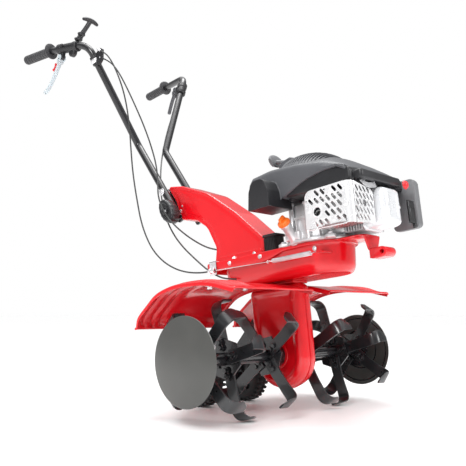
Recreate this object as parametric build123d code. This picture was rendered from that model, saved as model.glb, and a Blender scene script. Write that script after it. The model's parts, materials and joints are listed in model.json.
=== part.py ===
"""Walk-behind tiller: rotor, gear case, deck, engine, steering column and handlebar.

Everything is modelled in the machine frame, in millimetres: the origin is the rotor
axle's centre, +X points forward, +Y to the operator's left and +Z up through the gear
case. The last step puts the machine in its standing pose: the body leans back on its
transport wheels by STANCE_PITCH, the lowest blade tips and the two wheels touch z = 0,
and the origin is the centre of the footprint under the whole object.
"""
from build123d import *
import math
import os

# ---- driving dimensions -------------------------------------------------------------
STANCE_PITCH = 6.0          # degrees, nose up about the rotor axle
TIP_RADIUS = 160.0          # rotor blade feet
SHAFT_RADIUS = 12.5
RUNNING_CLEARANCE = 0.05    # radial, in every turning fit
DISC_Y, DISC_RADIUS, DISC_DOME = 383.0, 112.5, 12.0
STAR_Y = {"inner": 76.0, "middle": 240.0, "outer": 348.0}
STAR_PHASE = {"inner": (-47.0, -57.0), "middle": (-72.0, -72.0), "outer": (-132.0, -120.0)}
BLADE_BOLTS = (30.0, 44.0)  # distance of a blade's two bolts from the axle
HUB_TUBE_RADIUS = 17.0
FLANGE_THICKNESS, FLANGE_ACROSS = 5.0, 100.0
BLADE_THICKNESS, BLADE_WIDTH, BLADE_REACH = 5.0, 38.0, 56.0
BLADES_PER_STAR, BLADE_ROOT = 4, 22.0

CASE_HALF_WIDTH, CASE_WALL, CASE_TOP = 36.0, 4.0, 198.0
WORM_WHEEL_RADIUS, WORM_RADIUS = 38.0, 13.0
WORM_X = -(WORM_WHEEL_RADIUS + WORM_RADIUS + 0.6)
WORM_SHAFT_RADIUS = 10.0

DECK_Z, DECK_THICKNESS, DECK_HALF_WIDTH = 284.0, 4.0, 92.0
DECK_TOP = DECK_Z + DECK_THICKNESS
DECK_REAR, DECK_TAB_FRONT = -212.0, 332.0
BOWL_BOTTOM, BOWL_HALF_WIDTH, BOWL_WALL, BOWL_REAR = 202.0, 86.0, 2.5, -150.0
CRANK_X, CRANK_RADIUS = 178.0, 12.0
BELT_Z, BELT_HEIGHT = 236.0, 12.0
DRIVEN_RADIUS, DRIVE_RADIUS = 60.0, 34.0

ARM_PIVOT = (228.0, -42.0)  # x, y of the belt tensioner's post
DECK_BOLTS = [(x, y) for x in (-196.0, -100.0) for y in (70.0, -70.0)]

FENDER_INNER, FENDER_OUTER, FENDER_SHEET = 38.0, 350.0, 2.5
FENDER_BOLTS = [(-30.0, 110.0), (-30.0, 250.0)]

COLUMN_HALF_WIDTH, COLUMN_WALL = 47.0, 3.0
PIVOT = (-407.0, 569.0)     # x, z of the handlebar's pivot bolt
CLAMP_DISTANCE = 96.0       # pivot bolt to clamp bolt
HANDLE_TILT = (-12.0, 12.0)
TUBE_RADIUS, TUBE_WALL, TUBE_Y = 12.5, 2.0, 62.0
BOLT_RADIUS = 4.0
KINK = (-535.0, TUBE_Y, 771.0)
BEND = (-583.0, 230.0, 1132.0)
GRIP_INNER = (-751.0, 273.0, 1159.8)
GRIP_END = (-889.0, 294.0, 1171.4)
GRIP_RADIUS, GRIP_FLANGE_RADIUS = 17.0, 29.0

WHEEL_RADIUS, WHEEL_WIDTH, WHEEL_Y = 80.0, 46.0, 96.0
WHEEL_REACH = 240.0         # level distance behind the rotor axle, as it stands
WHEEL_AXLE_RADIUS = 6.0


# ---- small builders -----------------------------------------------------------------
def block(x, y, z):
    """A box from three (low, high) pairs."""
    size = [high - low for low, high in (x, y, z)]
    centre = [(low + high) / 2 for low, high in (x, y, z)]
    return Pos(*centre) * Box(*size)


def rod_y(x, z, radius, low, high):
    """A cylinder along Y."""
    return Pos(x, (low + high) / 2, z) * Rot(90, 0, 0) * Cylinder(radius, high - low)


def rod_z(x, y, radius, low, high):
    """A cylinder along Z."""
    return Pos(x, y, (low + high) / 2) * Cylinder(radius, high - low)


def rod_x(y, z, radius, low, high):
    """A cylinder along X."""
    return Pos((low + high) / 2, y, z) * Rot(0, 90, 0) * Cylinder(radius, high - low)


def rod_between(start, end, radius):
    """A cylinder from one point to another."""
    start, end = Vector(*start), Vector(*end)
    plane = Plane(origin=start, z_dir=end - start)
    return extrude(plane * Circle(radius), (end - start).length)


def side_slab(points, radii, low, high):
    """A rounded outline of (x, z) points, extruded along Y."""
    wire = FilletPolyline(*[(x, low, z) for x, z in points], radius=radii, close=True)
    return extrude(make_face(wire), high - low, dir=(0, 1, 0))


def flat_slab(points, radii, low, high):
    """A rounded outline of (x, y) points, extruded along Z."""
    wire = FilletPolyline(*[(x, y, low) for x, y in points], radius=radii, close=True)
    return extrude(make_face(wire), high - low, dir=(0, 0, 1))


def offset_path(points, distance):
    """Each point of an open path moved sideways, mitred at the corners."""
    moved = []
    for index, (x, z) in enumerate(points):
        before = points[max(index - 1, 0)]
        after = points[min(index + 1, len(points) - 1)]
        normals = []
        for (ax, az), (bx, bz) in ((before, (x, z)), ((x, z), after)):
            length = math.hypot(bx - ax, bz - az)
            if length:
                normals.append(((az - bz) / length, (bx - ax) / length))
        nx = sum(normal[0] for normal in normals)
        nz = sum(normal[1] for normal in normals)
        scale = distance * len(normals) / (nx * nx + nz * nz)
        moved.append((x + nx * scale, z + nz * scale))
    return moved


def sheet(points, radius, thickness, low, high):
    """A bent sheet: an open (x, z) path given a thickness, extruded along Y."""
    edge = offset_path(points, thickness)
    radii = [0.4] + [radius] * (len(points) - 2) + [0.4]
    return side_slab(points + edge[::-1], radii + radii, low, high)


def tube_along(points, radii, outer, inner=0.0):
    """A round tube or rod along straight runs joined by arcs."""
    path = FilletPolyline(*points, radius=radii)
    start = Plane(origin=path @ 0, z_dir=path % 0)
    section = Circle(outer) - Circle(inner) if inner else Circle(outer)
    return sweep(start * section, path=path)


def mirrored(points):
    """The same points on the other side of the machine."""
    return [(x, -y, z) for x, y, z in points]


def polar(radius, angle, centre=(0.0, 0.0)):
    """An (x, z) point at an angle from +X towards +Z."""
    turn = math.radians(angle)
    return centre[0] + radius * math.cos(turn), centre[1] + radius * math.sin(turn)


def spin_y(shape, angle):
    """Turn a shape built along +X about the rotor's axis, +X towards +Z."""
    return Rot(0, -angle, 0) * shape


def group(*solids):
    """Separate pieces kept together in one node."""
    return Compound(children=[solid for item in solids for solid in item.solids()])


def column_line(distance):
    """A point (x, z) on the handle tubes' line, measured down from the pivot."""
    dx, dz = PIVOT[0] - KINK[0], PIVOT[1] - KINK[2]
    length = math.hypot(dx, dz)
    return PIVOT[0] + dx / length * distance, PIVOT[1] + dz / length * distance


CLAMP = column_line(CLAMP_DISTANCE)
TUBE_END = column_line(CLAMP_DISTANCE + 22.0)
TUBE_ANGLE = math.degrees(math.atan2(CLAMP[1] - PIVOT[1], CLAMP[0] - PIVOT[0]))


# ---- gear case ----------------------------------------------------------------------
def case_outline(inset):
    """Corner points and radii of the gear case's side view, drawn in by an inset."""
    points = [(-90 + inset, CASE_TOP - inset), (95 - inset, CASE_TOP - inset),
              (95 - inset, -93 + inset), (-80 + inset, -93 + inset)]
    return points, [max(22 - inset, 3), max(22 - inset, 3), 85 - inset, 85 - inset]


def case_half(side):
    """One hollow pressed half, with its dished flank, bearing seat and shaft hole."""
    outer = side_slab(*case_outline(0), 0, CASE_HALF_WIDTH)
    rim = outer.faces().sort_by(Axis.Y)[-1].edges()
    outer = fillet(rim, 12)
    hollow = side_slab(*case_outline(CASE_WALL), -1, CASE_HALF_WIDTH - 10)
    dish = side_slab(*case_outline(26), CASE_HALF_WIDTH - 6, CASE_HALF_WIDTH + 1)
    seat = rod_y(0, 0, 34, 16, CASE_HALF_WIDTH - 4)
    half = outer - hollow - dish + seat
    half -= rod_y(0, 0, 22, -1, CASE_HALF_WIDTH + 1)
    half -= rod_z(WORM_X, 0, 16, CASE_TOP - 20, CASE_TOP + 1)
    return half if side > 0 else mirror(half, about=Plane.XZ)


def bearing_housings():
    """Two shaft bosses on the case's flanks and the worm shaft's upper bearing."""
    bore = SHAFT_RADIUS + RUNNING_CLEARANCE
    pieces = []
    for side in (1, -1):
        boss = rod_y(0, 0, 22, 17, 46) + rod_y(0, 0, 31, CASE_HALF_WIDTH - 4, 44)
        for angle in range(30, 390, 60):
            x, z = polar(26, angle)
            boss += rod_y(x, z, 3.4, 43, 47)
        boss -= rod_y(0, 0, bore, 0, 60)
        pieces.append(boss if side > 0 else mirror(boss, about=Plane.XZ))
    ring = rod_z(WORM_X, 0, 16, CASE_TOP - 14, CASE_TOP)
    ring -= rod_z(WORM_X, 0, WORM_SHAFT_RADIUS + RUNNING_CLEARANCE, 0, CASE_TOP + 9)
    return group(*pieces, ring)


def worm_shaft():
    """The vertical input shaft with its worm, drawn at the worm's pitch radius."""
    shaft = rod_z(WORM_X, 0, WORM_SHAFT_RADIUS, -34, BELT_Z + 16)
    worm = rod_z(WORM_X, 0, WORM_RADIUS, -26, 26)
    return shaft + worm


def grooved_pulley(x, y, radius, bore):
    """A V-belt pulley centred on the belt's plane."""
    rim = rod_z(x, y, radius + 6, BELT_Z - 10, BELT_Z + 10)
    groove = rod_z(x, y, radius + 7, BELT_Z - BELT_HEIGHT / 2, BELT_Z + BELT_HEIGHT / 2)
    groove -= rod_z(x, y, radius - 6, BELT_Z - 10, BELT_Z + 10)
    return rim - groove - rod_z(x, y, bore, BELT_Z - 11, BELT_Z + 11)


def drive_belt():
    """The V-belt round both pulleys, clear of each groove."""
    def loop(extra):
        driven, drive = DRIVEN_RADIUS + extra, DRIVE_RADIUS + extra
        span = CRANK_X - WORM_X
        lean = math.degrees(math.asin((driven - drive) / span))
        sketch = Pos(WORM_X, 0) * Circle(driven) + Pos(CRANK_X, 0) * Circle(drive)
        corners = []
        for turn in (90 - lean, -90 + lean):
            for x, radius in ((WORM_X, driven), (CRANK_X, drive)):
                px, py = polar(radius, turn, (x, 0))
                corners.append((px, py))
        quad = Polyline(corners[0], corners[1], corners[3], corners[2], close=True)
        return sketch + make_face(quad)
    belt = extrude(loop(3.5) - loop(-5.5), BELT_HEIGHT - 2)
    return Pos(0, 0, BELT_Z - BELT_HEIGHT / 2 + 1) * belt


# ---- rotor --------------------------------------------------------------------------
def worm_wheel():
    """The worm wheel on the rotor shaft, drawn at its pitch radius."""
    return rod_y(0, 0, WORM_WHEEL_RADIUS, -11, 11) - rod_y(0, 0, SHAFT_RADIUS, -12, 12)


def rotor_shaft():
    """The through shaft that carries both rotor halves."""
    return rod_y(0, 0, SHAFT_RADIUS, -DISC_Y - 2, DISC_Y + 2)


def hub(side):
    """One rotor half: a tube with three welded hexagonal flanges."""
    tube = rod_y(0, 0, HUB_TUBE_RADIUS, 50, DISC_Y - 5)
    tube -= rod_y(0, 0, SHAFT_RADIUS, 49, DISC_Y)
    hexagon = RegularPolygon(FLANGE_ACROSS / 2, 6, major_radius=False) - Circle(SHAFT_RADIUS)
    for name, y in STAR_Y.items():
        plane = Plane(origin=(0, y - FLANGE_THICKNESS / 2, 0), x_dir=(1, 0, 0), z_dir=(0, 1, 0))
        tube += spin_y(extrude(plane * hexagon, FLANGE_THICKNESS), phase_of(name, side))
        for x, z in bolt_places(name, side):
            tube -= rod_y(x, z, BOLT_RADIUS, y - 5, y + 5)
    return tube if side > 0 else mirror(tube, about=Plane.XZ)


def phase_of(name, side):
    """The angle of a star's first blade, in the machine frame."""
    return STAR_PHASE[name][0 if side < 0 else 1] - STANCE_PITCH


def bolt_places(name, side):
    """The (x, z) places of one star's blade bolts."""
    turns = [phase_of(name, side) + index * 360 / BLADES_PER_STAR
             for index in range(BLADES_PER_STAR)]
    return [polar(x, turn) for turn in turns for x in BLADE_BOLTS]


def blade(y, reach_side):
    """One L-shaped blade along +X, on one face of its flange, foot bent along Y."""
    half = BLADE_THICKNESS / 2
    line = y + reach_side * (FLANGE_THICKNESS / 2 + half)
    path = [(BLADE_ROOT, line), (TIP_RADIUS - half, line),
            (TIP_RADIUS - half, line + reach_side * BLADE_REACH)]
    low, high = offset_path(path, half), offset_path(path, -half)
    bend = 26.0
    inner_bend, outer_bend = (bend - half, bend + half)
    radii_low = [0.4, inner_bend if reach_side > 0 else outer_bend, 0.4]
    radii_high = [0.4, outer_bend if reach_side > 0 else inner_bend, 0.4]
    points = [(x, yy, -BLADE_WIDTH / 2) for x, yy in low + high[::-1]]
    wire = FilletPolyline(*points, radius=radii_low + radii_high[::-1], close=True)
    strip = extrude(make_face(wire), BLADE_WIDTH, dir=(0, 0, 1))
    tip = line + reach_side * BLADE_REACH
    slant = Pos(TIP_RADIUS, tip, BLADE_WIDTH / 2) * Rot(reach_side * 35, 0, 0)
    strip -= slant * Box(60, 24, 60)
    for x in BLADE_BOLTS:
        strip -= Pos(x, line, 0) * Rot(90, 0, 0) * Cylinder(BOLT_RADIUS, 20)
    return strip


def star_blades(name):
    """The blades of one star on both rotor halves, facing out and in by turns."""
    pieces = []
    for side in (1, -1):
        for index in range(BLADES_PER_STAR):
            outward = {"inner": 1, "middle": 1 if index % 2 else -1, "outer": -1}[name]
            piece = spin_y(blade(STAR_Y[name], outward),
                           phase_of(name, side) + index * 360 / BLADES_PER_STAR)
            pieces.append(piece if side > 0 else mirror(piece, about=Plane.XZ))
    return group(*pieces)


def rotor_fasteners():
    """The blade bolts, and the spring pins that hold the outer rotor sections."""
    pieces = []
    for side in (1, -1):
        for name, y in STAR_Y.items():
            for x, z in bolt_places(name, side):
                bolt = rod_y(x, z, BOLT_RADIUS, y - 10, y + 10)
                bolt += rod_y(x, z, 6.5, y - 14, y - 8) + rod_y(x, z, 6.5, y + 8, y + 14)
                pieces.append(bolt if side > 0 else mirror(bolt, about=Plane.XZ))
        pin = rod_z(0, side * 285, 3, HUB_TUBE_RADIUS, HUB_TUBE_RADIUS + 16)
        clip = Pos(0, side * 285, HUB_TUBE_RADIUS + 16) * Rot(90, 0, 0) * Torus(8, 1.6)
        pieces.append(pin + clip)
    return group(*pieces)


def side_discs():
    """The two plant-protection discs: shallow domes at the rotor's ends."""
    pieces = []
    for side in (1, -1):
        ball = (DISC_RADIUS ** 2 + DISC_DOME ** 2) / (2 * DISC_DOME)
        centre = DISC_Y + DISC_DOME - ball
        dome = Pos(0, centre, 0) * (Sphere(ball) - Sphere(ball - 2.0))
        dome &= block((-130, 130), (DISC_Y - 2, DISC_Y + 20), (-130, 130))
        dome &= rod_y(0, 0, DISC_RADIUS, 300, 420)
        socket = rod_y(0, 0, 24, DISC_Y - 5, DISC_Y + DISC_DOME - 1.5)
        socket -= rod_y(0, 0, SHAFT_RADIUS, DISC_Y - 6, DISC_Y + 2)
        disc = dome + socket
        pieces.append(disc if side > 0 else mirror(disc, about=Plane.XZ))
    return group(*pieces)


# ---- deck, belt cover, fenders ------------------------------------------------------
def bowl_outline(inset):
    """The belt cover's plan: square at the rear, round about the engine pulley."""
    half = BOWL_HALF_WIDTH - inset
    front = CRANK_X + half
    points = [(BOWL_REAR + inset, -half), (front, -half), (front, half),
              (BOWL_REAR + inset, half)]
    return points, [38, half - 0.5, half - 0.5, 38]


def belt_cover():
    """The pressed cover under the deck: tapered walls, a flat floor and a top flange."""
    depth = DECK_Z - BOWL_BOTTOM
    taper = 5.0
    top = make_face(FilletPolyline(*[(x, y, DECK_Z) for x, y in bowl_outline(0)[0]],
                                   radius=bowl_outline(0)[1], close=True))
    cup = extrude(top, depth, dir=(0, 0, -1), taper=taper)
    inner = make_face(FilletPolyline(*[(x, y, DECK_Z) for x, y in bowl_outline(BOWL_WALL)[0]],
                                     radius=bowl_outline(BOWL_WALL)[1], close=True))
    cup -= extrude(inner, depth - BOWL_WALL, dir=(0, 0, -1), taper=taper)
    flange_points, flange_radii = bowl_outline(-5)
    rim = flat_slab(flange_points, flange_radii, DECK_Z - BOWL_WALL, DECK_Z)
    rim -= flat_slab(*bowl_outline(0.5), DECK_Z - 5, DECK_Z + 5)
    cup += rim
    cup -= rod_z(WORM_X, 0, 17, BOWL_BOTTOM - 1, BOWL_BOTTOM + 5)
    cup -= block((212, 246), (-100, -45), (249, 260))
    return cup


def deck_plate():
    """The top plate that carries the engine and the column, with its front tab."""
    half = DECK_HALF_WIDTH
    plate = flat_slab([(DECK_REAR, -half), (CRANK_X + half, -half), (CRANK_X + half, half),
                       (DECK_REAR, half)], [30, half - 0.5, half - 0.5, 30], DECK_Z, DECK_TOP)
    tab = flat_slab([(CRANK_X, -48), (DECK_TAB_FRONT, -48), (DECK_TAB_FRONT, 48),
                     (CRANK_X, 48)], [2, 30, 30, 2], DECK_Z, DECK_TOP)
    lip = side_slab([(DECK_TAB_FRONT - 6, DECK_Z + 2), (DECK_TAB_FRONT, DECK_Z + 2),
                     (DECK_TAB_FRONT, 246), (DECK_TAB_FRONT - 6, 246)], 1.5, -18, 18)
    post = rod_z(*ARM_PIVOT, 5, 244, DECK_Z + 1)
    plate = plate + tab + lip + post
    plate -= rod_z(CRANK_X, 0, 26, DECK_Z - 1, DECK_TOP + 1)
    for x, y in DECK_BOLTS:
        plate -= rod_z(x, y, BOLT_RADIUS, DECK_Z - 1, DECK_TOP + 1)
    return plate


def front_bumper():
    """The rounded tongue bolted to the deck's front lip."""
    tongue = block((DECK_TAB_FRONT, 362), (-24, 24), (224, 250))
    nose = rod_y(368, 237, 13, -24, 24)
    return tongue + nose - rod_y(368, 237, 6, -30, 30)


FENDER_PATH = [(152.0, 163.0), (70.0, 188.0), (0.0, 196.0), (-71.0, 196.0),
               (-135.0, 183.0), (-182.0, 155.0), (-219.0, 128.0), (-230.0, 100.0)]


def fender(side):
    """One soil guard: a sheet arched over the rotor half, with a turned outer edge."""
    path = FENDER_PATH[::-1]
    guard = sheet(path, 40.0, FENDER_SHEET, FENDER_INNER, FENDER_OUTER)
    flange = sheet(offset_path(path, -12.0), 40.0, 12.5, FENDER_OUTER - FENDER_SHEET, FENDER_OUTER)
    web = sheet(offset_path(path[2:-1], -16.0), 40.0, 16.5, FENDER_INNER, FENDER_INNER + FENDER_SHEET)
    guard = guard + flange + web
    for x, y in FENDER_BOLTS:
        guard -= rod_z(x, y, BOLT_RADIUS, 180, 210)
    return guard if side > 0 else mirror(guard, about=Plane.XZ)


def body_bolts():
    """Hex bolts of the case rim, the fenders and the deck."""
    pieces = []
    for side in (1, -1):
        for x, z in ((80, 150), (80, 60), (-72, 150), (-68, 60)):
            low, high = sorted((side * CASE_HALF_WIDTH, side * (CASE_HALF_WIDTH + 5)))
            pieces.append(rod_y(x, z, 5.5, low, high))
        for x, y in FENDER_BOLTS:
            pieces.append(rod_z(x, side * y, BOLT_RADIUS, 184, 205) + rod_z(x, side * y, 8, 199, 205)
                          + rod_z(x, side * y, 8, 184, 195.5))
    for x, y in DECK_BOLTS:
        pieces.append(rod_z(x, y, BOLT_RADIUS, DECK_Z - 6, DECK_TOP + 8)
                      + rod_z(x, y, 7.5, DECK_TOP, DECK_TOP + 6))
    return group(*pieces)


# ---- steering column ----------------------------------------------------------------
COLUMN_OUTLINE = [(-4, DECK_TOP), (3, 337), (-102, 436), (-217, 523), (-339, 577),
                  (-412, 592), (-372, 531), (-348, 462), (-276, 445), (-232, 413),
                  (-197, 341), (-208, DECK_TOP)]
COLUMN_RADII = [3, 10, 120, 120, 90, 5, 60, 14, 45, 60, 22, 3]


def column_profile(low, high, shrink=0.0):
    """The column's side view between two Y planes, drawn in for its hollow."""
    slab = side_slab(COLUMN_OUTLINE, COLUMN_RADII, low, high)
    if shrink:
        face = slab.faces().sort_by(Axis.Y)[0]
        slab = extrude(offset(face, amount=-shrink), high - low, dir=(0, 1, 0))
    return slab


def clamp_slot(width, low, high):
    """The curved slot that the clamp bolt travels in."""
    plane = Plane(origin=(PIVOT[0], low, PIVOT[1]), x_dir=(1, 0, 0), z_dir=(0, -1, 0))
    start = TUBE_ANGLE - HANDLE_TILT[1] - 2
    arc = CenterArc((0, 0), CLAMP_DISTANCE, start, HANDLE_TILT[1] - HANDLE_TILT[0] + 4)
    return extrude(plane * SlotArc(arc, width), high - low, dir=(0, 1, 0))


def column_shell():
    """The hollow steering column, open at its foot and along its upper rear edge."""
    outer = column_profile(-COLUMN_HALF_WIDTH, COLUMN_HALF_WIDTH)
    inside = COLUMN_HALF_WIDTH - COLUMN_WALL
    shell = outer - column_profile(-inside, inside, COLUMN_WALL)
    shell -= block((-200, -8), (-inside, inside), (DECK_TOP - 1, DECK_TOP + 8))
    shell -= block((-430, -330), (-inside, inside), (455, 584))
    shell -= rod_y(*PIVOT, BOLT_RADIUS + 0.5, -60, 60)
    shell -= rod_x(THROTTLE_CABLE[-1][1], THROTTLE_CABLE[-1][2], 5, -215, -190)
    shell -= clamp_slot(2 * BOLT_RADIUS + 1.5, -60, 60)
    return shell


def handle_bracket():
    """Two steel cheeks inside the column that carry the pivot and the clamp slot."""
    outline = [(-424, 560), (-414, 584), (-392, 578), (-330, 545), (-315, 490), (-330, 468),
               (-366, 456), (-378, 476)]
    cheeks = []
    for side in (1, -1):
        low, high = sorted((side * 38.5, side * 43.5))
        cheek = side_slab(outline, 7, low, high)
        cheek -= rod_y(*PIVOT, BOLT_RADIUS + RUNNING_CLEARANCE, -60, 60)
        cheek -= clamp_slot(2 * BOLT_RADIUS + 1.0, -60, 60)
        cheeks.append(cheek)
    web = block((-331, -327), (-38.5, 38.5), (482, 530))
    return cheeks[0] + cheeks[1] + web


def cable_clips():
    """The bracket and ring that hold the cables at the deck's rear corner."""
    strap = block((-182, -154), (-96, -92), (252, DECK_TOP))
    strap += block((-182, -154), (-96, -79), (DECK_TOP, DECK_TOP + 3))
    ring = rod_x(-100, 262, 8, -181, -155)
    return strap + ring - rod_x(-100, 262, 3.2, -190, -140)


# ---- belt tensioner -----------------------------------------------------------------
IDLER = (165.0, -58.0)


def tension_arm():
    """The arm that presses the idler on the belt, its tab outside the cover's slot."""
    arm = flat_slab([(157, -66), (157, -50), (222, -31), (240, -31), (240, -106), (224, -106),
                     (224, -56)], [6, 6, 6, 8, 3, 3, 12], 252, 257)
    arm += rod_z(*ARM_PIVOT, 11, 246, 262)
    arm -= rod_z(*ARM_PIVOT, 5 + RUNNING_CLEARANCE, 240, 270)
    arm += rod_z(*IDLER, 5, 228, 252)
    return arm


def tension_pulley():
    """The flanged idler, free on the arm's pin."""
    wheel = rod_z(*IDLER, 13, BELT_Z - 7, BELT_Z + 7)
    return wheel - rod_z(*IDLER, 5 + RUNNING_CLEARANCE, 200, 300)


def tension_spring():
    """The long pull spring beside the cover, drawn as its outer tube with end loops."""
    coil = rod_x(-100, 254.5, 7, 70, 205) - rod_x(-100, 254.5, 5, 76, 199)
    hooks = rod_x(-100, 254.5, 1.4, 50, 71) + rod_x(-100, 254.5, 1.4, 204, 223.5)
    wire = rod_between((-152, -100, 262), (52, -100, 254.5), 1.2)
    return coil + hooks + wire


# ---- engine -------------------------------------------------------------------------
def ring_z(x, y, outer, inner, low, high):
    """A hollow cylinder along Z."""
    return rod_z(x, y, outer, low, high) - rod_z(x, y, inner, low - 1, high + 1)


FILLER_FOOT, FILLER_MOUTH = Vector(146, -92, 306), Vector(146, -124, 340)
FILLER_LEAN = (FILLER_MOUTH - FILLER_FOOT).normalized()


def engine_block():
    """The crankcase: a base flange, a round barrel with ribs and a cylinder seat."""
    base = rod_z(CRANK_X, 0, 104, DECK_TOP, DECK_TOP + 9)
    for angle in range(45, 405, 90):
        x, y = polar(112, angle, (CRANK_X, 0))
        base += rod_z(x, y, 14, DECK_TOP, DECK_TOP + 9)
    barrel = rod_z(CRANK_X, 0, 86, DECK_TOP, 396)
    for angle in range(20, 380, 40):
        rib = block((80, 99), (-3, 3), (DECK_TOP, 372))
        barrel += Pos(CRANK_X, 0, 0) * Rot(0, 0, angle) * rib
    seat = block((CRANK_X + 60, CRANK_X + 104), (-50, 50), (302, 392))
    neck = rod_between(tuple(FILLER_FOOT), tuple(FILLER_MOUTH), 13)
    body = base + barrel + seat + neck
    body -= rod_z(CRANK_X, 0, 80, DECK_TOP + 8, 390)
    body -= rod_z(CRANK_X, 0, CRANK_RADIUS + RUNNING_CLEARANCE, 200, 420)
    return body


def cylinder_barrel():
    """The finned cylinder, lying forward from the crankcase."""
    low, high = CRANK_X + 104, 346
    barrel = rod_x(0, 347, 34, low, high)
    for index in range(7):
        x = low + 4 + index * 8
        barrel += block((x, x + 3.5), (-52, 52), (298, 396))
    return barrel - rod_x(0, 347, 26, low - 5, high - 8)


def rocker_cover():
    """The bright rocker cover on the cylinder head."""
    cover = block((346, 414), (-62, 30), (292, 402))
    cover = fillet(cover.edges().filter_by(Axis.X), 16)
    cover = fillet(cover.faces().sort_by(Axis.X)[-1].edges(), 10)
    return cover - block((345, 410), (-58, 26), (296, 398))


def muffler():
    """The exhaust box beside the cylinder, with its outlet pipe."""
    can = fillet(block((258, 372), (-150, -72), (304, 384)).edges(), 14)
    can -= fillet(block((260, 370), (-148, -74), (306, 382)).edges(), 12)
    pipe = rod_y(286, 334, 12, -163, -145) - rod_y(286, 334, 9, -170, -140)
    return can + pipe


def muffler_guard():
    """The slotted guard wrapped round the muffler's outside and front."""
    side = block((248, 388), (-170, -166), (288, 400))
    side = fillet(side.edges().filter_by(Axis.Y), 18)
    front = block((384, 388), (-168, -64), (300, 392))
    slots = []
    for row in range(6):
        for column in range(6):
            x, z = 262 + column * 22 + (row % 2) * 11, 304 + row * 16
            if math.hypot(x - 286, z - 334) > 24 and x < 378:
                slots.append(Pos(x, -168, z) * Rot(0, 40, 0) * Box(4.5, 10, 15))
    for row in range(5):
        for column in range(4):
            y, z = -150 + column * 22, 312 + row * 16
            slots.append(Pos(386, y, z) * Rot(-40, 0, 0) * Box(10, 4.5, 15))
    guard = side + front
    for slot in slots:
        guard -= slot
    return guard - rod_y(286, 334, 16, -175, -160)


SHROUD_TOP = [(42, 432), (42, 500), (120, 528), (200, 532), (292, 500), (372, 446), (372, 404),
              (300, 424), (170, 410)]
SHROUD_RADII = [4, 22, 60, 60, 60, 8, 8, 30, 40]


def engine_shroud():
    """The dark moulded shroud over the flywheel, with an arch on its right flank."""
    outer = side_slab(SHROUD_TOP, SHROUD_RADII, -148, 118)
    inner_face = side_slab(SHROUD_TOP, SHROUD_RADII, -145, 115).faces().sort_by(Axis.Y)[0]
    hollow = extrude(offset(inner_face, amount=-3), 260, dir=(0, 1, 0))
    floor = block((45, 369), (-145, 115), (380, 432))
    shell = outer - hollow - (floor & side_slab(SHROUD_TOP, SHROUD_RADII, -145, 115))
    arch = rod_y(131, 424, 30, -160, -140) + block((101, 161), (-160, -140), (380, 424))
    shell -= arch
    shell -= block((334, 380), (58, 120), (395, 442))
    shell -= rod_z(CRANK_X, 0, 84, 500, 560)
    return shell


STARTER_Y = -30.0           # the starter cord leaves the cover right of its middle


def recoil_cover():
    """The raised, ribbed starter cover on top of the shroud."""
    base = rod_z(CRANK_X, 0, 83.5, 512, 530) - rod_z(CRANK_X, 0, 78, 500, 526)
    base += rod_z(CRANK_X, 0, 70, 526, 549)
    base = fillet(base.faces().sort_by(Axis.Z)[-1].edges(), 10)
    for index in range(-6, 7):
        base -= block((CRANK_X - 50, CRANK_X + 50), (index * 9 - 2, index * 9 + 2), (541, 560))
    base -= rod_z(CRANK_X, 0, 64, 500, 540)
    return base - rod_x(STARTER_Y, 549, 3, 90, 140)


def starter_grip():
    """The T-shaped pull with a stub of its cord, lying in the cover's rear notch."""
    bar = rod_y(58, 556, 8, STARTER_Y - 24, STARTER_Y + 24)
    stem = rod_x(STARTER_Y, 549, 5, 60, 100)
    stub = rod_x(STARTER_Y, 549, 2, 94, 128)
    return bar + stem + stub


def oil_cap():
    """The quarter-turn oil cap on the filler neck."""
    foot = FILLER_MOUTH + FILLER_LEAN * 0.3
    return rod_between(tuple(foot), tuple(foot + FILLER_LEAN * 24), 17)


def carburetor():
    """The small carburettor between the cylinder's left and the filter box."""
    return block((346, 386), (36, 56), (320, 372)) + rod_y(366, 346, 14, 56, 62)


PRIMER, PRIMER_RADIUS = (58.6, 411.0), 12.0
FILTER_FRONT = 410.0


def filter_box():
    """The black air-filter box on the engine's left front, with the primer's housing."""
    box = fillet(block((338, FILTER_FRONT), (62, 108), (304, 436)).edges().filter_by(Axis.Y), 12)
    box -= block((342, FILTER_FRONT - 4), (66, 109), (308, 432))
    box += block((388, FILTER_FRONT), (40, 64), (384, 430))
    return box - rod_x(*PRIMER, PRIMER_RADIUS + 0.3, FILTER_FRONT - 8, FILTER_FRONT + 1)


def filter_cover():
    """The clip-on outer cover of the air filter."""
    cover = fillet(block((336, FILTER_FRONT + 2), (108, 146), (302, 438)).edges().filter_by(Axis.Y), 12)
    cover = fillet(cover.faces().sort_by(Axis.Y)[-1].edges(), 8)
    return cover - block((342, FILTER_FRONT - 4), (104, 140), (308, 432))


def primer_button():
    """The red rubber primer bulb on the filter box's front."""
    return rod_x(*PRIMER, PRIMER_RADIUS, FILTER_FRONT + 0.5, FILTER_FRONT + 16)


def crankshaft():
    """The vertical crankshaft, its flywheel end up and its pulley end below the deck."""
    return rod_z(CRANK_X, 0, CRANK_RADIUS, 212, 470) + rod_z(CRANK_X, 0, 40, 320, 350)


def flywheel():
    """The fan flywheel under the shroud."""
    wheel = rod_z(CRANK_X, 0, 74, 424, 432) - rod_z(CRANK_X, 0, CRANK_RADIUS, 420, 440)
    for index in range(12):
        vane = block((34, 70), (-1.5, 1.5), (430, 456))
        wheel += Pos(CRANK_X, 0, 0) * Rot(0, 0, index * 30) * vane
    return wheel


def engine_bolts():
    """Hex bolts through the engine's base lugs, the head and the guard."""
    pieces = []
    for angle in range(45, 405, 90):
        x, y = polar(112, angle, (CRANK_X, 0))
        pieces.append(rod_z(x, y, 8, DECK_TOP + 9, DECK_TOP + 15))
    for y in (-44, 12):
        for z in (306, 388):
            pieces.append(rod_x(y, z, 5, 414, 418))
    return group(*pieces)


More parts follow.
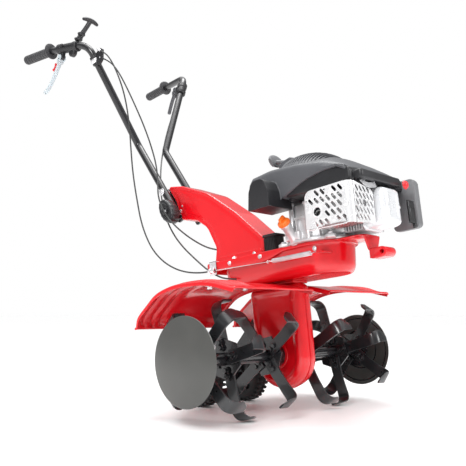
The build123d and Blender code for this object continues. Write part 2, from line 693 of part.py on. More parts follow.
# ---- wheels -------------------------------------------------------------------------
def stand_point(x, z):
    """A level point, from the axle as the machine stands, in the machine frame."""
    lean = math.radians(STANCE_PITCH)
    return (x * math.cos(lean) + z * math.sin(lean),
            -x * math.sin(lean) + z * math.cos(lean))


def lowest_blade():
    """How far the lowest blade corner lies under the axle as the machine stands."""
    stars = [star_blades(name) for name in STAR_Y]
    return -min((Rot(0, -STANCE_PITCH, 0) * star).bounding_box().min.Z for star in stars)


AXLE_HEIGHT = lowest_blade()
WHEEL_AXLE = stand_point(-WHEEL_REACH, WHEEL_RADIUS - AXLE_HEIGHT)


def transport_wheel(side):
    """One moulded wheel with a dished hub and block tread."""
    low, high = WHEEL_Y - WHEEL_WIDTH / 2, WHEEL_Y + WHEEL_WIDTH / 2
    wheel = rod_y(*WHEEL_AXLE, WHEEL_RADIUS, low, high)
    wheel -= rod_y(*WHEEL_AXLE, 46, high - 12, high + 1) + rod_y(*WHEEL_AXLE, 46, low - 1, low + 12)
    wheel += rod_y(*WHEEL_AXLE, 15, low, high)
    wheel -= rod_y(*WHEEL_AXLE, WHEEL_AXLE_RADIUS + RUNNING_CLEARANCE, low - 1, high + 1)
    return wheel if side > 0 else mirror(wheel, about=Plane.XZ)


def wheel_bracket():
    """The forked arm from the case's rear to the wheel axle, with the axle welded in."""
    ax, az = WHEEL_AXLE
    arm = side_slab([(-88.2, 120), (-85.4, 40), (ax + 8, az - 16), (ax - 16, az - 4),
                     (ax - 8, az + 18)], [4, 14, 12, 12, 12], -14, 14)
    arm += rod_y(ax, az, WHEEL_AXLE_RADIUS, -WHEEL_Y - 34, WHEEL_Y + 34)
    for side in (1, -1):
        low, high = sorted((side * 14, side * (WHEEL_Y - WHEEL_WIDTH / 2 - 1)))
        arm += rod_y(ax, az, 11, low, high)
        low, high = sorted((side * (WHEEL_Y + WHEEL_WIDTH / 2 + 1), side * (WHEEL_Y + 32)))
        arm += rod_y(ax, az, 10, low, high)
    return arm


# ---- handlebar ----------------------------------------------------------------------
def handle_points():
    """The left handle tube's centre line, foot to grip."""
    foot = (TUBE_END[0], TUBE_Y, TUBE_END[1])
    return [foot, KINK, BEND, GRIP_INNER, GRIP_END]


def handle_tube(side):
    """One bent handle tube, drilled for the pivot and clamp bolts."""
    points = handle_points()
    tube = tube_along(points, [40, 60, 200], TUBE_RADIUS, TUBE_RADIUS - TUBE_WALL)
    for x, z in (PIVOT, CLAMP):
        tube -= rod_y(x, z, BOLT_RADIUS, TUBE_Y - 30, TUBE_Y + 30)
    return tube if side > 0 else mirror(tube, about=Plane.XZ)


def handle_bolts():
    """The pivot bolt and the clamp bolt, with their heads and spacers."""
    pieces = []
    for (x, z), reach in ((PIVOT, 82), (CLAMP, 111)):
        bolt = rod_y(x, z, BOLT_RADIUS, -reach, 82)
        bolt += rod_y(x, z, 8, 75, 82) + rod_y(x, z, 7, 47.6, 49.4) + rod_y(x, z, 7, -49.4, -47.6)
        if reach == 82:
            bolt += rod_y(x, z, 9, -82, -75)
        pieces.append(bolt)
    return group(*pieces)


def hand_grips():
    """The two rubber grips with their round inner flanges."""
    pieces = []
    for side in (1, -1):
        start, end = Vector(*GRIP_INNER), Vector(*GRIP_END)
        along = (end - start).normalized()
        grip = rod_between(tuple(start), tuple(end + along * 4), GRIP_RADIUS)
        grip += rod_between(tuple(start), tuple(start + along * 6), GRIP_FLANGE_RADIUS)
        grip -= rod_between(tuple(start - along), tuple(end + along * 0.1), TUBE_RADIUS + 0.1)
        grip -= rod_between(tuple(start - along), tuple(start + along * 24), TUBE_RADIUS + 0.8)
        pieces.append(grip if side > 0 else mirror(grip, about=Plane.XZ))
    return group(*pieces)


LEVER_DROP = 33.0           # from the tube's centre line to a lever's pin
SLEEVE_REACH = 130.0


def along_handle(distance, side=1):
    """A point on the tube's level part, measured from the grip towards the bend."""
    start, end = Vector(*GRIP_INNER), Vector(*BEND)
    point = start + (end - start).normalized() * distance
    return Vector(point.X, side * point.Y, point.Z)


def down_upright(distance):
    """A point on the left tube's upright, measured down from its upper bend."""
    start, end = Vector(*BEND), Vector(*KINK)
    return start + (end - start).normalized() * distance


def lever_pivot(side):
    """The centre of a lever's pin: under the right grip, behind the left upright."""
    if side > 0:
        return down_upright(58) - Vector(LEVER_DROP, 0, 0)
    point = along_handle(50, side)
    return Vector(point.X, point.Y, point.Z - LEVER_DROP)


def left_mount():
    """The clamp on the left upright, with the lever's lug and the cable's stop."""
    pin = lever_pivot(1)
    mount = rod_between(tuple(down_upright(44)), tuple(down_upright(96)), 19)
    mount += block((pin.X, pin.X + 18), (pin.Y - 7, pin.Y + 7), (pin.Z - 8, pin.Z + 8))
    mount += Pos(*pin) * Rot(90, 0, 0) * Cylinder(8, 14)
    stop, ahead = Vector(*REVERSE_CABLE[0]), Vector(*REVERSE_CABLE[1]) - Vector(*REVERSE_CABLE[0])
    mount += rod_between(tuple(stop - ahead.normalized() * 16), tuple(stop), 4.5)
    mount += block((stop.X - 3, stop.X + 14), (stop.Y - 4, stop.Y + 8), (stop.Z + 5, stop.Z + 14))
    mount -= rod_between(tuple(down_upright(30)), tuple(down_upright(130)), TUBE_RADIUS)
    return mount - Pos(*pin) * Rot(90, 0, 0) * Cylinder(3, 40)


def lever_mounts():
    """The clamps that carry the levers, and the plate of cable stops on the right."""
    pin = lever_pivot(-1)
    mount = rod_between(tuple(along_handle(38, -1)), tuple(along_handle(SLEEVE_REACH, -1)), 19)
    mount += Pos(pin.X, pin.Y, pin.Z + 10) * Box(16, 14, 20)
    mount += Pos(*pin) * Rot(90, 0, 0) * Cylinder(8, 14)
    mount -= rod_between(tuple(along_handle(20, -1)), tuple(along_handle(134, -1)), TUBE_RADIUS)
    mount -= Pos(*pin) * Rot(90, 0, 0) * Cylinder(3, 40)
    lower, upper = Vector(*mirrored([KINK])[0]), Vector(*mirrored([BEND])[0])
    along = (upper - lower).normalized()
    middle = lower + along * ((upper - lower).length * 0.84)
    plate = Pos(middle.X + 24, middle.Y - 6, middle.Z - 4) * Box(38, 5, 60)
    clamp = rod_between(tuple(middle - along * 14), tuple(middle + along * 14), 17)
    stops = plate + clamp
    stops -= rod_between(tuple(middle - along * 60), tuple(middle + along * 60), TUBE_RADIUS)
    for cable_points in (CLUTCH_CABLE, THROTTLE_CABLE):
        stop = Vector(*cable_points[0])
        ahead = (Vector(*cable_points[1]) - stop).normalized()
        stops += rod_between(tuple(stop - ahead * 16), tuple(stop), 4.5)
    return group(mount, left_mount(), stops)


LEVER_ROUTE = {-1: [(-14, 0, -14), (-42, 4, -54), (-78, 12, -98), (-94, 16, -108)],
               1: [(-14, 0, -14), (-30, 0, -38), (-44, -1, -66), (-50, -3, -84)]}


def hand_lever(side):
    """A squeeze lever: a forked root on its pin and a curved bar."""
    pin = lever_pivot(side)
    root = Pos(*pin) * Rot(0, 135, 0)
    lever = root * Pos(17, 0, 0) * Box(14, 24, 12)
    for step in (10, -10):
        lever += root * Pos(9, step, 0) * Box(16, 4, 12)
        lever += Pos(pin.X, pin.Y + step, pin.Z) * Rot(90, 0, 0) * Cylinder(9, 4)
    lever += Pos(*pin) * Rot(90, 0, 0) * Cylinder(3 - RUNNING_CLEARANCE, 24)
    route = LEVER_ROUTE[side]
    points = [(pin.X + x, pin.Y + side * y, pin.Z + z) for x, y, z in route]
    return lever + tube_along(points, [60, 20], 6)


def safety_lock():
    """The red catch lying on the right-hand lever's upper side."""
    pin = lever_pivot(-1)
    catch = Pos(pin.X - 40, pin.Y - 2.5, pin.Z - 25) * Rot(0, -45, 0) * Box(24, 12, 8)
    return catch + rod_y(pin.X - 31.5, pin.Z - 16.5, 5, pin.Y - 8.5, pin.Y + 3.5)


PALM_FOOT = along_handle(112, -1)
PALM_TOP = Vector(-588, -211, 1231)


def palm_lever():
    """The T-shaped control above the right-hand housing."""
    rise = (PALM_TOP - PALM_FOOT).normalized()
    stem = rod_between(tuple(PALM_FOOT + rise * 29), tuple(PALM_TOP), 6)
    return stem + rod_between((-588, -243, 1235), (-588, -180, 1227), 7.5)


def clamp_knob():
    """The oval ribbed hand nut on the clamp bolt."""
    plane = Plane(origin=(CLAMP[0], -114, CLAMP[1]), x_dir=(1, 0, 0), z_dir=(0, -1, 0))
    oval = plane * (Rot(0, 0, TUBE_ANGLE) * Ellipse(47, 29))
    knob = extrude(oval, 38, dir=(0, 1, 0))
    knob = fillet(knob.faces().sort_by(Axis.Y)[0].edges(), 8)
    return knob - rod_y(*CLAMP, BOLT_RADIUS + RUNNING_CLEARANCE, -112, -70)


# ---- cables -------------------------------------------------------------------------
CABLE_RADIUS = 2.5
CLUTCH_CABLE = [(-531, -214, 1092), (-507, -210, 1074), (-486, -202, 1040), (-472, -190, 992),
                (-466, -172, 932), (-476, -150, 867), (-492, -132, 800), (-503, -122, 735),
                (-505, -118, 670), (-500, -116, 608), (-490, -115, 545), (-478, -115, 484),
                (-458, -115, 430), (-428, -114, 375), (-384, -112, 329), (-332, -108, 295),
                (-280, -104, 275), (-228, -101, 265), (-188, -100, 262.2), (-154, -100, 261.6)]
THROTTLE_CABLE = [(-527, -206, 1062), (-500, -200, 1044), (-474, -188, 1006), (-454, -170, 946),
                  (-438, -146, 872), (-424, -122, 796), (-413, -104, 722), (-402, -96, 654),
                  (-386, -108, 590), (-368, -126, 536), (-346, -126, 484), (-320, -112, 438),
                  (-290, -88, 398), (-258, -58, 364), (-226, -36, 343), (-196, -22, 336)]
REVERSE_CABLE = [(-600, 194, 1036), (-606, 186, 1004), (-608, 174, 964), (-606, 152, 918),
                 (-592, 122, 866), (-570, 88, 810), (-538, 46, 744), (-506, 10, 684),
                 (-480, -16, 626), (-452, -40, 566), (-418, -62, 506), (-382, -76, 452),
                 (-344, -84, 402), (-300, -88, 356), (-252, -88, 314), (-208, -86, 276),
                 (-164, -86, 248), (-122, -90, 232), (-86, -84, 227)]


def bend_radii(points):
    """The largest arc that each corner's two runs leave room for."""
    radii = []
    for before, corner, after in zip(points, points[1:], points[2:]):
        back, ahead = Vector(*corner) - Vector(*before), Vector(*after) - Vector(*corner)
        half_turn = math.radians(back.get_angle(ahead)) / 2
        radii.append(0.45 * min(back.length, ahead.length) / math.tan(half_turn))
    return radii


def cable(points):
    """A cable's outer, along its route."""
    radii = bend_radii(points)
    tube = tube_along(points, radii, CABLE_RADIUS)
    length = FilletPolyline(*points, radius=radii).length
    section = math.pi * CABLE_RADIUS ** 2
    print(f"cable length {length:.0f}, tightest bend {min(radii):.0f}, "
          f"volume over section times length {tube.volume / (section * length):.4f}")
    return tube


# ---- assembly -----------------------------------------------------------------------
NODES = {
    "case_right": lambda: case_half(-1),
    "case_left": lambda: case_half(1),
    "bearing_housings": bearing_housings,
    "worm_shaft": worm_shaft,
    "driven_pulley": lambda: grooved_pulley(WORM_X, 0, DRIVEN_RADIUS, WORM_SHAFT_RADIUS),
    "drive_pulley": lambda: grooved_pulley(CRANK_X, 0, DRIVE_RADIUS, CRANK_RADIUS),
    "drive_belt": drive_belt,
    "worm_wheel": worm_wheel,
    "rotor_shaft": rotor_shaft,
    "hub_right": lambda: hub(-1),
    "hub_left": lambda: hub(1),
    "blades_inner": lambda: star_blades("inner"),
    "blades_middle": lambda: star_blades("middle"),
    "blades_outer": lambda: star_blades("outer"),
    "rotor_fasteners": rotor_fasteners,
    "side_discs": side_discs,
    "belt_cover": belt_cover,
    "deck_plate": deck_plate,
    "front_bumper": front_bumper,
    "fender_right": lambda: fender(-1),
    "fender_left": lambda: fender(1),
    "body_bolts": body_bolts,
    "column_shell": column_shell,
    "handle_bracket": handle_bracket,
    "cable_clips": cable_clips,
    "tension_arm": tension_arm,
    "tension_pulley": tension_pulley,
    "tension_spring": tension_spring,
    "engine_block": engine_block,
    "cylinder_barrel": cylinder_barrel,
    "rocker_cover": rocker_cover,
    "muffler": muffler,
    "muffler_guard": muffler_guard,
    "engine_shroud": engine_shroud,
    "recoil_cover": recoil_cover,
    "starter_grip": starter_grip,
    "oil_cap": oil_cap,
    "carburetor": carburetor,
    "filter_box": filter_box,
    "filter_cover": filter_cover,
    "primer_button": primer_button,
    "crankshaft": crankshaft,
    "flywheel": flywheel,
    "engine_bolts": engine_bolts,
    "wheel_right": lambda: transport_wheel(-1),
    "wheel_left": lambda: transport_wheel(1),
    "wheel_bracket": wheel_bracket,
    "handle_tube_right": lambda: handle_tube(-1),
    "handle_tube_left": lambda: handle_tube(1),
    "handle_bolts": handle_bolts,
    "hand_grips": hand_grips,
    "lever_mounts": lever_mounts,
    "clutch_lever": lambda: hand_lever(-1),
    "reverse_lever": lambda: hand_lever(1),
    "safety_lock": safety_lock,
    "palm_lever": palm_lever,
    "clamp_knob": clamp_knob,
    "clutch_cable": lambda: cable(CLUTCH_CABLE),
    "throttle_cable": lambda: cable(THROTTLE_CABLE),
    "reverse_cable": lambda: cable(REVERSE_CABLE),
}


def main():
    """Build every node, stand the machine on its blades and wheels, and write it."""
    os.makedirs("parts", exist_ok=True)
    stance = Pos(0, 0, AXLE_HEIGHT) * Rot(0, -STANCE_PITCH, 0)
    shapes = {name: stance * build() for name, build in NODES.items()}
    boxes = [shape.bounding_box() for shape in shapes.values()]
    middle = [(min(getattr(box.min, axis) for box in boxes)
               + max(getattr(box.max, axis) for box in boxes)) / 2 for axis in "XY"]
    print(f"axle height {AXLE_HEIGHT:.3f}, moved by {-middle[0]:.3f}, {-middle[1]:.3f}")
    for name, shape in shapes.items():
        export_step(Pos(-middle[0], -middle[1], 0) * shape, f"parts/{name}.step")


main()
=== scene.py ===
import json
import math

import bmesh
import bpy
from mathutils import Matrix, Vector


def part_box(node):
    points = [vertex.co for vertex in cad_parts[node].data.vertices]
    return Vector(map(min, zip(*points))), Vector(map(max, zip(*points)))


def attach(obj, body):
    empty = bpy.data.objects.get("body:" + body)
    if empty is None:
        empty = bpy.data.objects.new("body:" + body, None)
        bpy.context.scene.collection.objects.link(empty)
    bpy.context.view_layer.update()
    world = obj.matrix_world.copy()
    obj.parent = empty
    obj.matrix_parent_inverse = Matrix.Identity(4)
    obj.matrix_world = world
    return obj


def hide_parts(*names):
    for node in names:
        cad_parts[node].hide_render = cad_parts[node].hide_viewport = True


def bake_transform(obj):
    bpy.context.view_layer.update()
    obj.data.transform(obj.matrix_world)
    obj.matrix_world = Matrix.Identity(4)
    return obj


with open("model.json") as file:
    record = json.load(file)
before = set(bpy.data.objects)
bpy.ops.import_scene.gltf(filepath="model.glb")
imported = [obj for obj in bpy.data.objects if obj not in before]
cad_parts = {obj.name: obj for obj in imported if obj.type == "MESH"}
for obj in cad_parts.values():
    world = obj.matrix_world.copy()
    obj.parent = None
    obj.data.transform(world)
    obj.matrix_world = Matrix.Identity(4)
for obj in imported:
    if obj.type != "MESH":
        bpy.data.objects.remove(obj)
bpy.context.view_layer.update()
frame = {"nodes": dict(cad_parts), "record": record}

# Pieces are shaped in the machine frame in millimetres: origin at the rotor axle's centre,
# +X forward, +Y to the operator's left, +Z up through the gear case. TO_ROW leans it back
# by PITCH and carries it to the row frame in metres.
PITCH = math.radians(6.0)


def middle_of(node):
    return sum((Vector(corner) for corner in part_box(node)), Vector()) / 2


AXLE = middle_of("rotor_shaft")
TO_ROW = Matrix.Translation(AXLE) @ Matrix.Rotation(-PITCH, 4, "Y") @ Matrix.Scale(0.001, 4)


# ---- camera ----
CAMERA_FROM_AXLE = Vector((1.2004, -1.4550, 0.1220))
CAMERA_LOOKS = Vector((-0.6892, 0.7144, 0.1208))
camera = bpy.data.objects.new("camera", bpy.data.cameras.new("camera"))
camera.data.lens, camera.data.sensor_width = 50.0, 36.0
camera.location = AXLE + CAMERA_FROM_AXLE
camera.rotation_euler = CAMERA_LOOKS.to_track_quat("-Z", "Y").to_euler()
bpy.context.collection.objects.link(camera)
bpy.context.scene.camera = camera
bpy.context.scene.view_settings.view_transform = "Standard"


# ---- mesh tools ----
class Mesh:
    """Points and faces gathered in the machine frame; place maps local points into it."""

    def __init__(self):
        self.points, self.faces, self.place = [], [], Matrix()

    def at(self, place=Matrix()):
        self.place = place
        return self

    def ring(self, points):
        start = len(self.points)
        self.points += [self.place @ Vector(p) for p in points]
        return range(start, len(self.points))

    def loft(self, rings, closed=True, caps=True, joined=False):
        loops = [self.ring(r) for r in rings]
        pairs = list(zip(loops, loops[1:])) + ([(loops[-1], loops[0])] if joined else [])
        for a, b in pairs:
            for i in range(len(a) if closed else len(a) - 1):
                j = (i + 1) % len(a)
                self.faces.append((a[i], a[j], b[j], b[i]))
        if caps:
            self.faces += [tuple(loops[0]), tuple(loops[-1])]
        return self

    def slab(self, outline, low, high, axis="y", edge=1.5, steps=3):
        """An outline given a thickness along an axis, with rounded edges."""
        levels = []
        for k in range(steps + 1):
            turn = math.pi / 2 * k / steps
            levels.append((edge * (1 - math.sin(turn)), edge * (1 - math.cos(turn))))
        rings = [(d, low + h) for d, h in levels] + [(d, high - h) for d, h in levels[::-1]]
        return self.loft([spread(inset(outline, d), h, axis) for d, h in rings])

    def box(self, x, y, z, edge=1.5, corner=None):
        """A rounded block from (low, high) pairs."""
        corner = corner or edge * 1.5
        outline = rounded(rectangle(x, y), [corner] * 4, 4)
        return self.slab(outline, z[0], z[1], "z", edge)

    def lathe(self, profile, sides=40):
        """(radius, height) pairs turned about local Z; a profile that ends as it starts leaves a bore."""
        rings = [spread(ellipse(radius, radius, sides), height, "z") for radius, height in profile]
        hollow = profile[0][0] > 2 and profile[0][0] == profile[-1][0]
        return self.loft(rings, caps=not hollow, joined=hollow)

    def turned(self, origin, direction, profile, sides=40):
        """A profile turned about a line that leaves an origin in a direction."""
        return self.at(aim(origin, direction)).lathe(profile, sides).at()

    def tube(self, path, radius, sides=14, closed=False):
        """A round tube along a path; radius is a number or one per point."""
        radii = radius if isinstance(radius, (list, tuple)) else [radius] * len(path)
        return self.strip(path, [ellipse(r, r, sides) for r in radii], closed=closed)

    def strip(self, path, sections, side=None, closed=False):
        """Sections swept along a path, carried without twist from a first side direction."""
        path = [Vector(p) for p in path]
        count = len(path)
        rings, across = [], Vector(side) if side else None
        for i, point in enumerate(path):
            before = path[i - 1] if i or closed else path[i]
            after = path[(i + 1) % count] if i + 1 < count or closed else path[i]
            ahead = (after - before).normalized()
            if across is None:
                across = ahead.orthogonal()
            across = (across - ahead * across.dot(ahead)).normalized()
            up = ahead.cross(across)
            section = sections[i] if isinstance(sections[0][0], tuple) else sections
            rings.append([point + across * u + up * v for u, v in section])
        return self.loft(rings, caps=not closed, joined=closed)

    def bolt(self, at, direction, across=13.0, height=6.0, washer=True):
        """A hex head with a chamfered top on a washer."""
        self.at(aim(at, direction))
        base = 0.0
        if washer:
            self.lathe([(across * 0.3, 0), (across * 0.82, 0), (across * 0.85, 0.6), (across * 0.8, 1.4),
                        (across * 0.3, 1.4)], 20)
            base = 1.4
        radius = across / math.sqrt(3)
        self.lathe([(radius, base), (radius, base + height * 0.8), (radius * 0.86, base + height),
                    (radius * 0.3, base + height)], 6)
        return self.at()


def spread(outline, height, axis):
    """2-D points put at a height along an axis."""
    return [{"x": (height, u, v), "y": (u, height, v), "z": (u, v, height)}[axis] for u, v in outline]


def rectangle(x, y):
    """The corners of a rectangle from (first, second) pairs."""
    return [(x[0], y[0]), (x[1], y[0]), (x[1], y[1]), (x[0], y[1])]


def divided(outline, longest, parts):
    """An outline whose edges over a length are cut into equal parts."""
    result = []
    for a, b in zip(outline, outline[1:] + outline[:1]):
        count = parts if math.dist(a, b) > longest else 1
        result += [(a[0] + (b[0] - a[0]) * k / parts, a[1] + (b[1] - a[1]) * k / parts) for k in range(count)]
    return result


def rounded(points, radii, steps=6):
    """A polygon's points with its corners turned into arcs."""
    result = []
    for i, radius in enumerate(radii):
        corner = Vector(points[i])
        back = (Vector(points[i - 1]) - corner).normalized()
        ahead = (Vector(points[(i + 1) % len(points)]) - corner).normalized()
        half = back.angle(ahead) / 2
        centre = corner + (back + ahead).normalized() * radius / math.sin(half)
        start = corner + back * radius / math.tan(half) - centre
        end = corner + ahead * radius / math.tan(half) - centre
        first = math.atan2(start.y, start.x)
        turn = (math.atan2(end.y, end.x) - first + math.pi) % (2 * math.pi) - math.pi
        for k in range(steps + 1):
            angle = first + turn * k / steps
            result.append((centre.x + radius * math.cos(angle), centre.y + radius * math.sin(angle)))
    return result


def inset(outline, distance):
    """An outline drawn in along its mitred normals."""
    if not distance:
        return list(outline)
    count = len(outline)
    area = sum(outline[i - 1][0] * outline[i][1] - outline[i][0] * outline[i - 1][1] for i in range(count))
    sense = 1 if area > 0 else -1
    moved = []
    for i, (u, v) in enumerate(outline):
        a = Vector((u - outline[i - 1][0], v - outline[i - 1][1]))
        b = Vector((outline[(i + 1) % count][0] - u, outline[(i + 1) % count][1] - v))
        a, b = (a if a.length > 1e-6 else b).normalized(), (b if b.length > 1e-6 else a).normalized()
        normal = Vector((-a.y - b.y, a.x + b.x)) * sense
        scale = 2 / max(normal.length_squared, 0.8)
        moved.append((u + normal.x * distance * scale, v + normal.y * distance * scale))
    return moved


def shrunk(points, radii, distance, steps=6):
    """A filleted polygon drawn in: its edges move, its round corners stay concentric."""
    moved, turned = [], []
    count = len(points)
    area = sum(points[i - 1][0] * points[i][1] - points[i][0] * points[i - 1][1] for i in range(count))
    sense = 1 if area > 0 else -1
    for i, radius in enumerate(radii):
        before, here, after = (Vector(points[k % count]) for k in (i - 1, i, i + 1))
        first, second = (here - before).normalized(), (after - here).normalized()
        bisector = Vector((-first.y - second.y, first.x + second.x)).normalized() * sense
        reach = distance / max(bisector.dot(Vector((-first.y, first.x)) * sense), 0.3)
        convex = (first.x * second.y - first.y * second.x) * sense > 0
        moved.append(tuple(here + bisector * reach))
        turned.append(max(radius - distance, 1.0) if convex else radius + distance)
    return rounded(moved, turned, steps)


def turns(count):
    """Even steps round a circle, in radians."""
    return [2 * math.pi * k / count for k in range(count)]


def ellipse(a, b, count=32, centre=(0.0, 0.0)):
    return [(centre[0] + a * math.cos(t), centre[1] + b * math.sin(t)) for t in turns(count)]


def capsule(centre, length, width, angle, count=5):
    """A slot's outline."""
    turn, half = math.radians(angle), (length - width) / 2
    points = []
    for end, first in ((1, 0), (-1, math.pi)):
        for k in range(count + 1):
            t = math.pi * (k / count - 0.5) + first
            u, v = end * half + width / 2 * math.cos(t), width / 2 * math.sin(t)
            points.append((centre[0] + u * math.cos(turn) - v * math.sin(turn),
                           centre[1] + u * math.sin(turn) + v * math.cos(turn)))
    return points


def aim(origin, direction, side=(0.0, 1.0, 0.0)):
    """A placement whose local Z is a direction and whose local X is near a side."""
    z = Vector(direction).normalized()
    x = Vector(side) - z * z.dot(Vector(side))
    x = x.normalized() if x.length > 1e-3 else z.orthogonal().normalized()
    turned = Matrix((x, z.cross(x), z)).transposed().to_4x4()
    return Matrix.Translation(Vector(origin)) @ turned


def curve_through(points, per=6):
    """A smooth line through points."""
    points = [Vector(p) for p in points]
    ends = [2 * points[0] - points[1]] + points + [2 * points[-1] - points[-2]]
    line = []
    for a, b, c, d in zip(ends, ends[1:], ends[2:], ends[3:]):
        for k in range(per):
            t = k / per
            line.append(((b * 2) + (c - a) * t + (a * 2 - b * 5 + c * 4 - d) * t ** 2
                         + (b * 3 - a - c * 3 + d) * t ** 3) / 2)
    return line + [points[-1]]


def blend_in(low, high, value):
    """A smooth 0 to 1 as a value goes from low to high."""
    t = min(max((value - low) / (high - low), 0.0), 1.0)
    return t * t * (3 - 2 * t)


def table_value(table, x):
    """A value read off a table of (x, value) rows."""
    for (x0, v0), (x1, v1) in zip(table, table[1:]):
        if x <= x1:
            return v0 + (v1 - v0) * max(x - x0, 0) / (x1 - x0)
    return table[-1][1]


def cut_plate(mesh, outline, holes, thickness, place, edge=0.5):
    """A flat plate with holes, its thickness centred on the placement's XY plane."""
    curve = bpy.data.curves.new("plate", "CURVE")
    curve.dimensions, curve.fill_mode = "2D", "BOTH"
    curve.extrude, curve.bevel_depth, curve.bevel_resolution = thickness / 2 - edge, edge, 1
    for loop in [inset(outline, edge)] + [inset(hole, -edge) for hole in holes]:
        line = curve.splines.new("POLY")
        line.points.add(len(loop) - 1)
        for point, (u, v) in zip(line.points, loop):
            point.co = (u, v, 0, 1)
        line.use_cyclic_u = True
    holder = bpy.data.objects.new("plate", curve)
    data = bpy.data.meshes.new_from_object(holder)
    start = len(mesh.points)
    mesh.points += [place @ v.co for v in data.vertices]
    mesh.faces += [tuple(start + i for i in face.vertices) for face in data.polygons]
    bpy.data.objects.remove(holder)
    bpy.data.meshes.remove(data)
    return mesh


WELD = 3e-6


def piece(name, mesh, finish, body, *nodes, slot=None, angle=38, solid=0.0, cutter=None):
    """An object made of a mesh in the row frame; it rides on a body and replaces CAD nodes.

    Edges sharper than angle stay sharp, solid gives a sheet its thickness in metres, and
    cutter is an object to cut away.
    """
    data = bpy.data.meshes.new(name)
    data.from_pydata([TO_ROW @ p for p in mesh.points], [], mesh.faces)
    shape = bmesh.new()
    shape.from_mesh(data)
    bmesh.ops.remove_doubles(shape, verts=shape.verts, dist=WELD)
    bmesh.ops.recalc_face_normals(shape, faces=shape.faces)
    shape.to_mesh(data)
    shape.free()
    item = bpy.data.objects.new(name, data)
    bpy.context.collection.objects.link(item)
    data.materials.append(MATERIALS[finish])
    if solid:
        item.modifiers.new("sheet", "SOLIDIFY").thickness = solid
        item.modifiers["sheet"].offset = -1
    if cutter:
        cut = item.modifiers.new("cut", "BOOLEAN")
        cut.operation, cut.solver = "DIFFERENCE", "EXACT"
        cut.object, cut.material_mode = cutter, "TRANSFER"
    if item.modifiers:
        graph = bpy.context.evaluated_depsgraph_get()
        item.data = bpy.data.meshes.new_from_object(item.evaluated_get(graph))
        item.data.name = name
        item.modifiers.clear()
    if cutter:
        bpy.data.objects.remove(cutter)
    item.data.shade_smooth()
    item.data.set_sharp_from_angle(angle=math.radians(angle))
    if body:
        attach(item, body)
    if nodes:
        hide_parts(*nodes)
    return item


# ---- materials ----
MATERIALS = {}
GLOSS_SPREAD = 0.08


def material(name, colour, rough, metal=0.0, coat=0.0, grain=(300.0, 0.0), mottle=(9.0, 0.12), edge=1.0,
             wear=None, specular=0.5, transmit=0.0):
    """A procedural finish: mottled colour and gloss, a grain bump, rounded edges, worn edges.

    grain is (scale, strength), mottle is (scale, share of the colour), edge is in millimetres
    and wear is the colour that shows where an edge is worn.
    """
    made = bpy.data.materials.new(name)
    made.use_nodes = True
    nodes, links = made.node_tree.nodes, made.node_tree.links
    shader = nodes["Principled BSDF"]
    shader.inputs["Metallic"].default_value = metal
    shader.inputs["Coat Weight"].default_value = coat
    shader.inputs["Coat Roughness"].default_value = 0.06
    shader.inputs["Specular IOR Level"].default_value = specular
    shader.inputs["Transmission Weight"].default_value = transmit
    place = nodes.new("ShaderNodeTexCoord")

    def noise(scale, detail):
        node = nodes.new("ShaderNodeTexNoise")
        node.inputs["Scale"].default_value, node.inputs["Detail"].default_value = scale, detail
        links.new(place.outputs["Object"], node.inputs["Vector"])
        return node.outputs["Fac"]

    ramp = nodes.new("ShaderNodeValToRGB")
    ramp.color_ramp.elements[0].position, ramp.color_ramp.elements[1].position = 0.3, 0.7
    ramp.color_ramp.elements[0].color = [c * (1 - mottle[1]) for c in colour] + [1]
    ramp.color_ramp.elements[1].color = [min(c * (1 + mottle[1]), 1) for c in colour] + [1]
    links.new(noise(mottle[0], 4.0), ramp.inputs["Fac"])
    tint = ramp.outputs["Color"]
    gloss = nodes.new("ShaderNodeMapRange")
    gloss.inputs["To Min"].default_value = max(rough - GLOSS_SPREAD, 0.03)
    gloss.inputs["To Max"].default_value = min(rough + GLOSS_SPREAD, 1)
    links.new(noise(mottle[0] * 4, 5.0), gloss.inputs["Value"])
    links.new(gloss.outputs["Result"], shader.inputs["Roughness"])
    bevel = nodes.new("ShaderNodeBevel")
    bevel.samples = 4
    bevel.inputs["Radius"].default_value = edge * 0.001
    if wear:
        geometry = nodes.new("ShaderNodeNewGeometry")
        facing = nodes.new("ShaderNodeVectorMath")
        facing.operation = "DOT_PRODUCT"
        links.new(bevel.outputs["Normal"], facing.inputs[0])
        links.new(geometry.outputs["Normal"], facing.inputs[1])
        worn = nodes.new("ShaderNodeMapRange")
        worn.inputs["From Min"].default_value, worn.inputs["From Max"].default_value = 0.995, 0.9
        links.new(facing.outputs["Value"], worn.inputs["Value"])
        patch = nodes.new("ShaderNodeMath")
        patch.operation = "MULTIPLY"
        links.new(worn.outputs["Result"], patch.inputs[0])
        links.new(noise(60.0, 3.0), patch.inputs[1])
        mix = nodes.new("ShaderNodeMix")
        mix.data_type = "RGBA"
        mix.inputs["B"].default_value = [*wear, 1]
        links.new(patch.outputs["Value"], mix.inputs["Factor"])
        links.new(tint, mix.inputs["A"])
        tint = mix.outputs["Result"]
    links.new(tint, shader.inputs["Base Color"])
    bump = nodes.new("ShaderNodeBump")
    bump.inputs["Strength"].default_value = grain[1]
    bump.inputs["Distance"].default_value = 0.0006
    links.new(noise(grain[0], 3.0), bump.inputs["Height"])
    links.new(bevel.outputs["Normal"], bump.inputs["Normal"])
    links.new(bump.outputs["Normal"], shader.inputs["Normal"])
    MATERIALS[name] = made


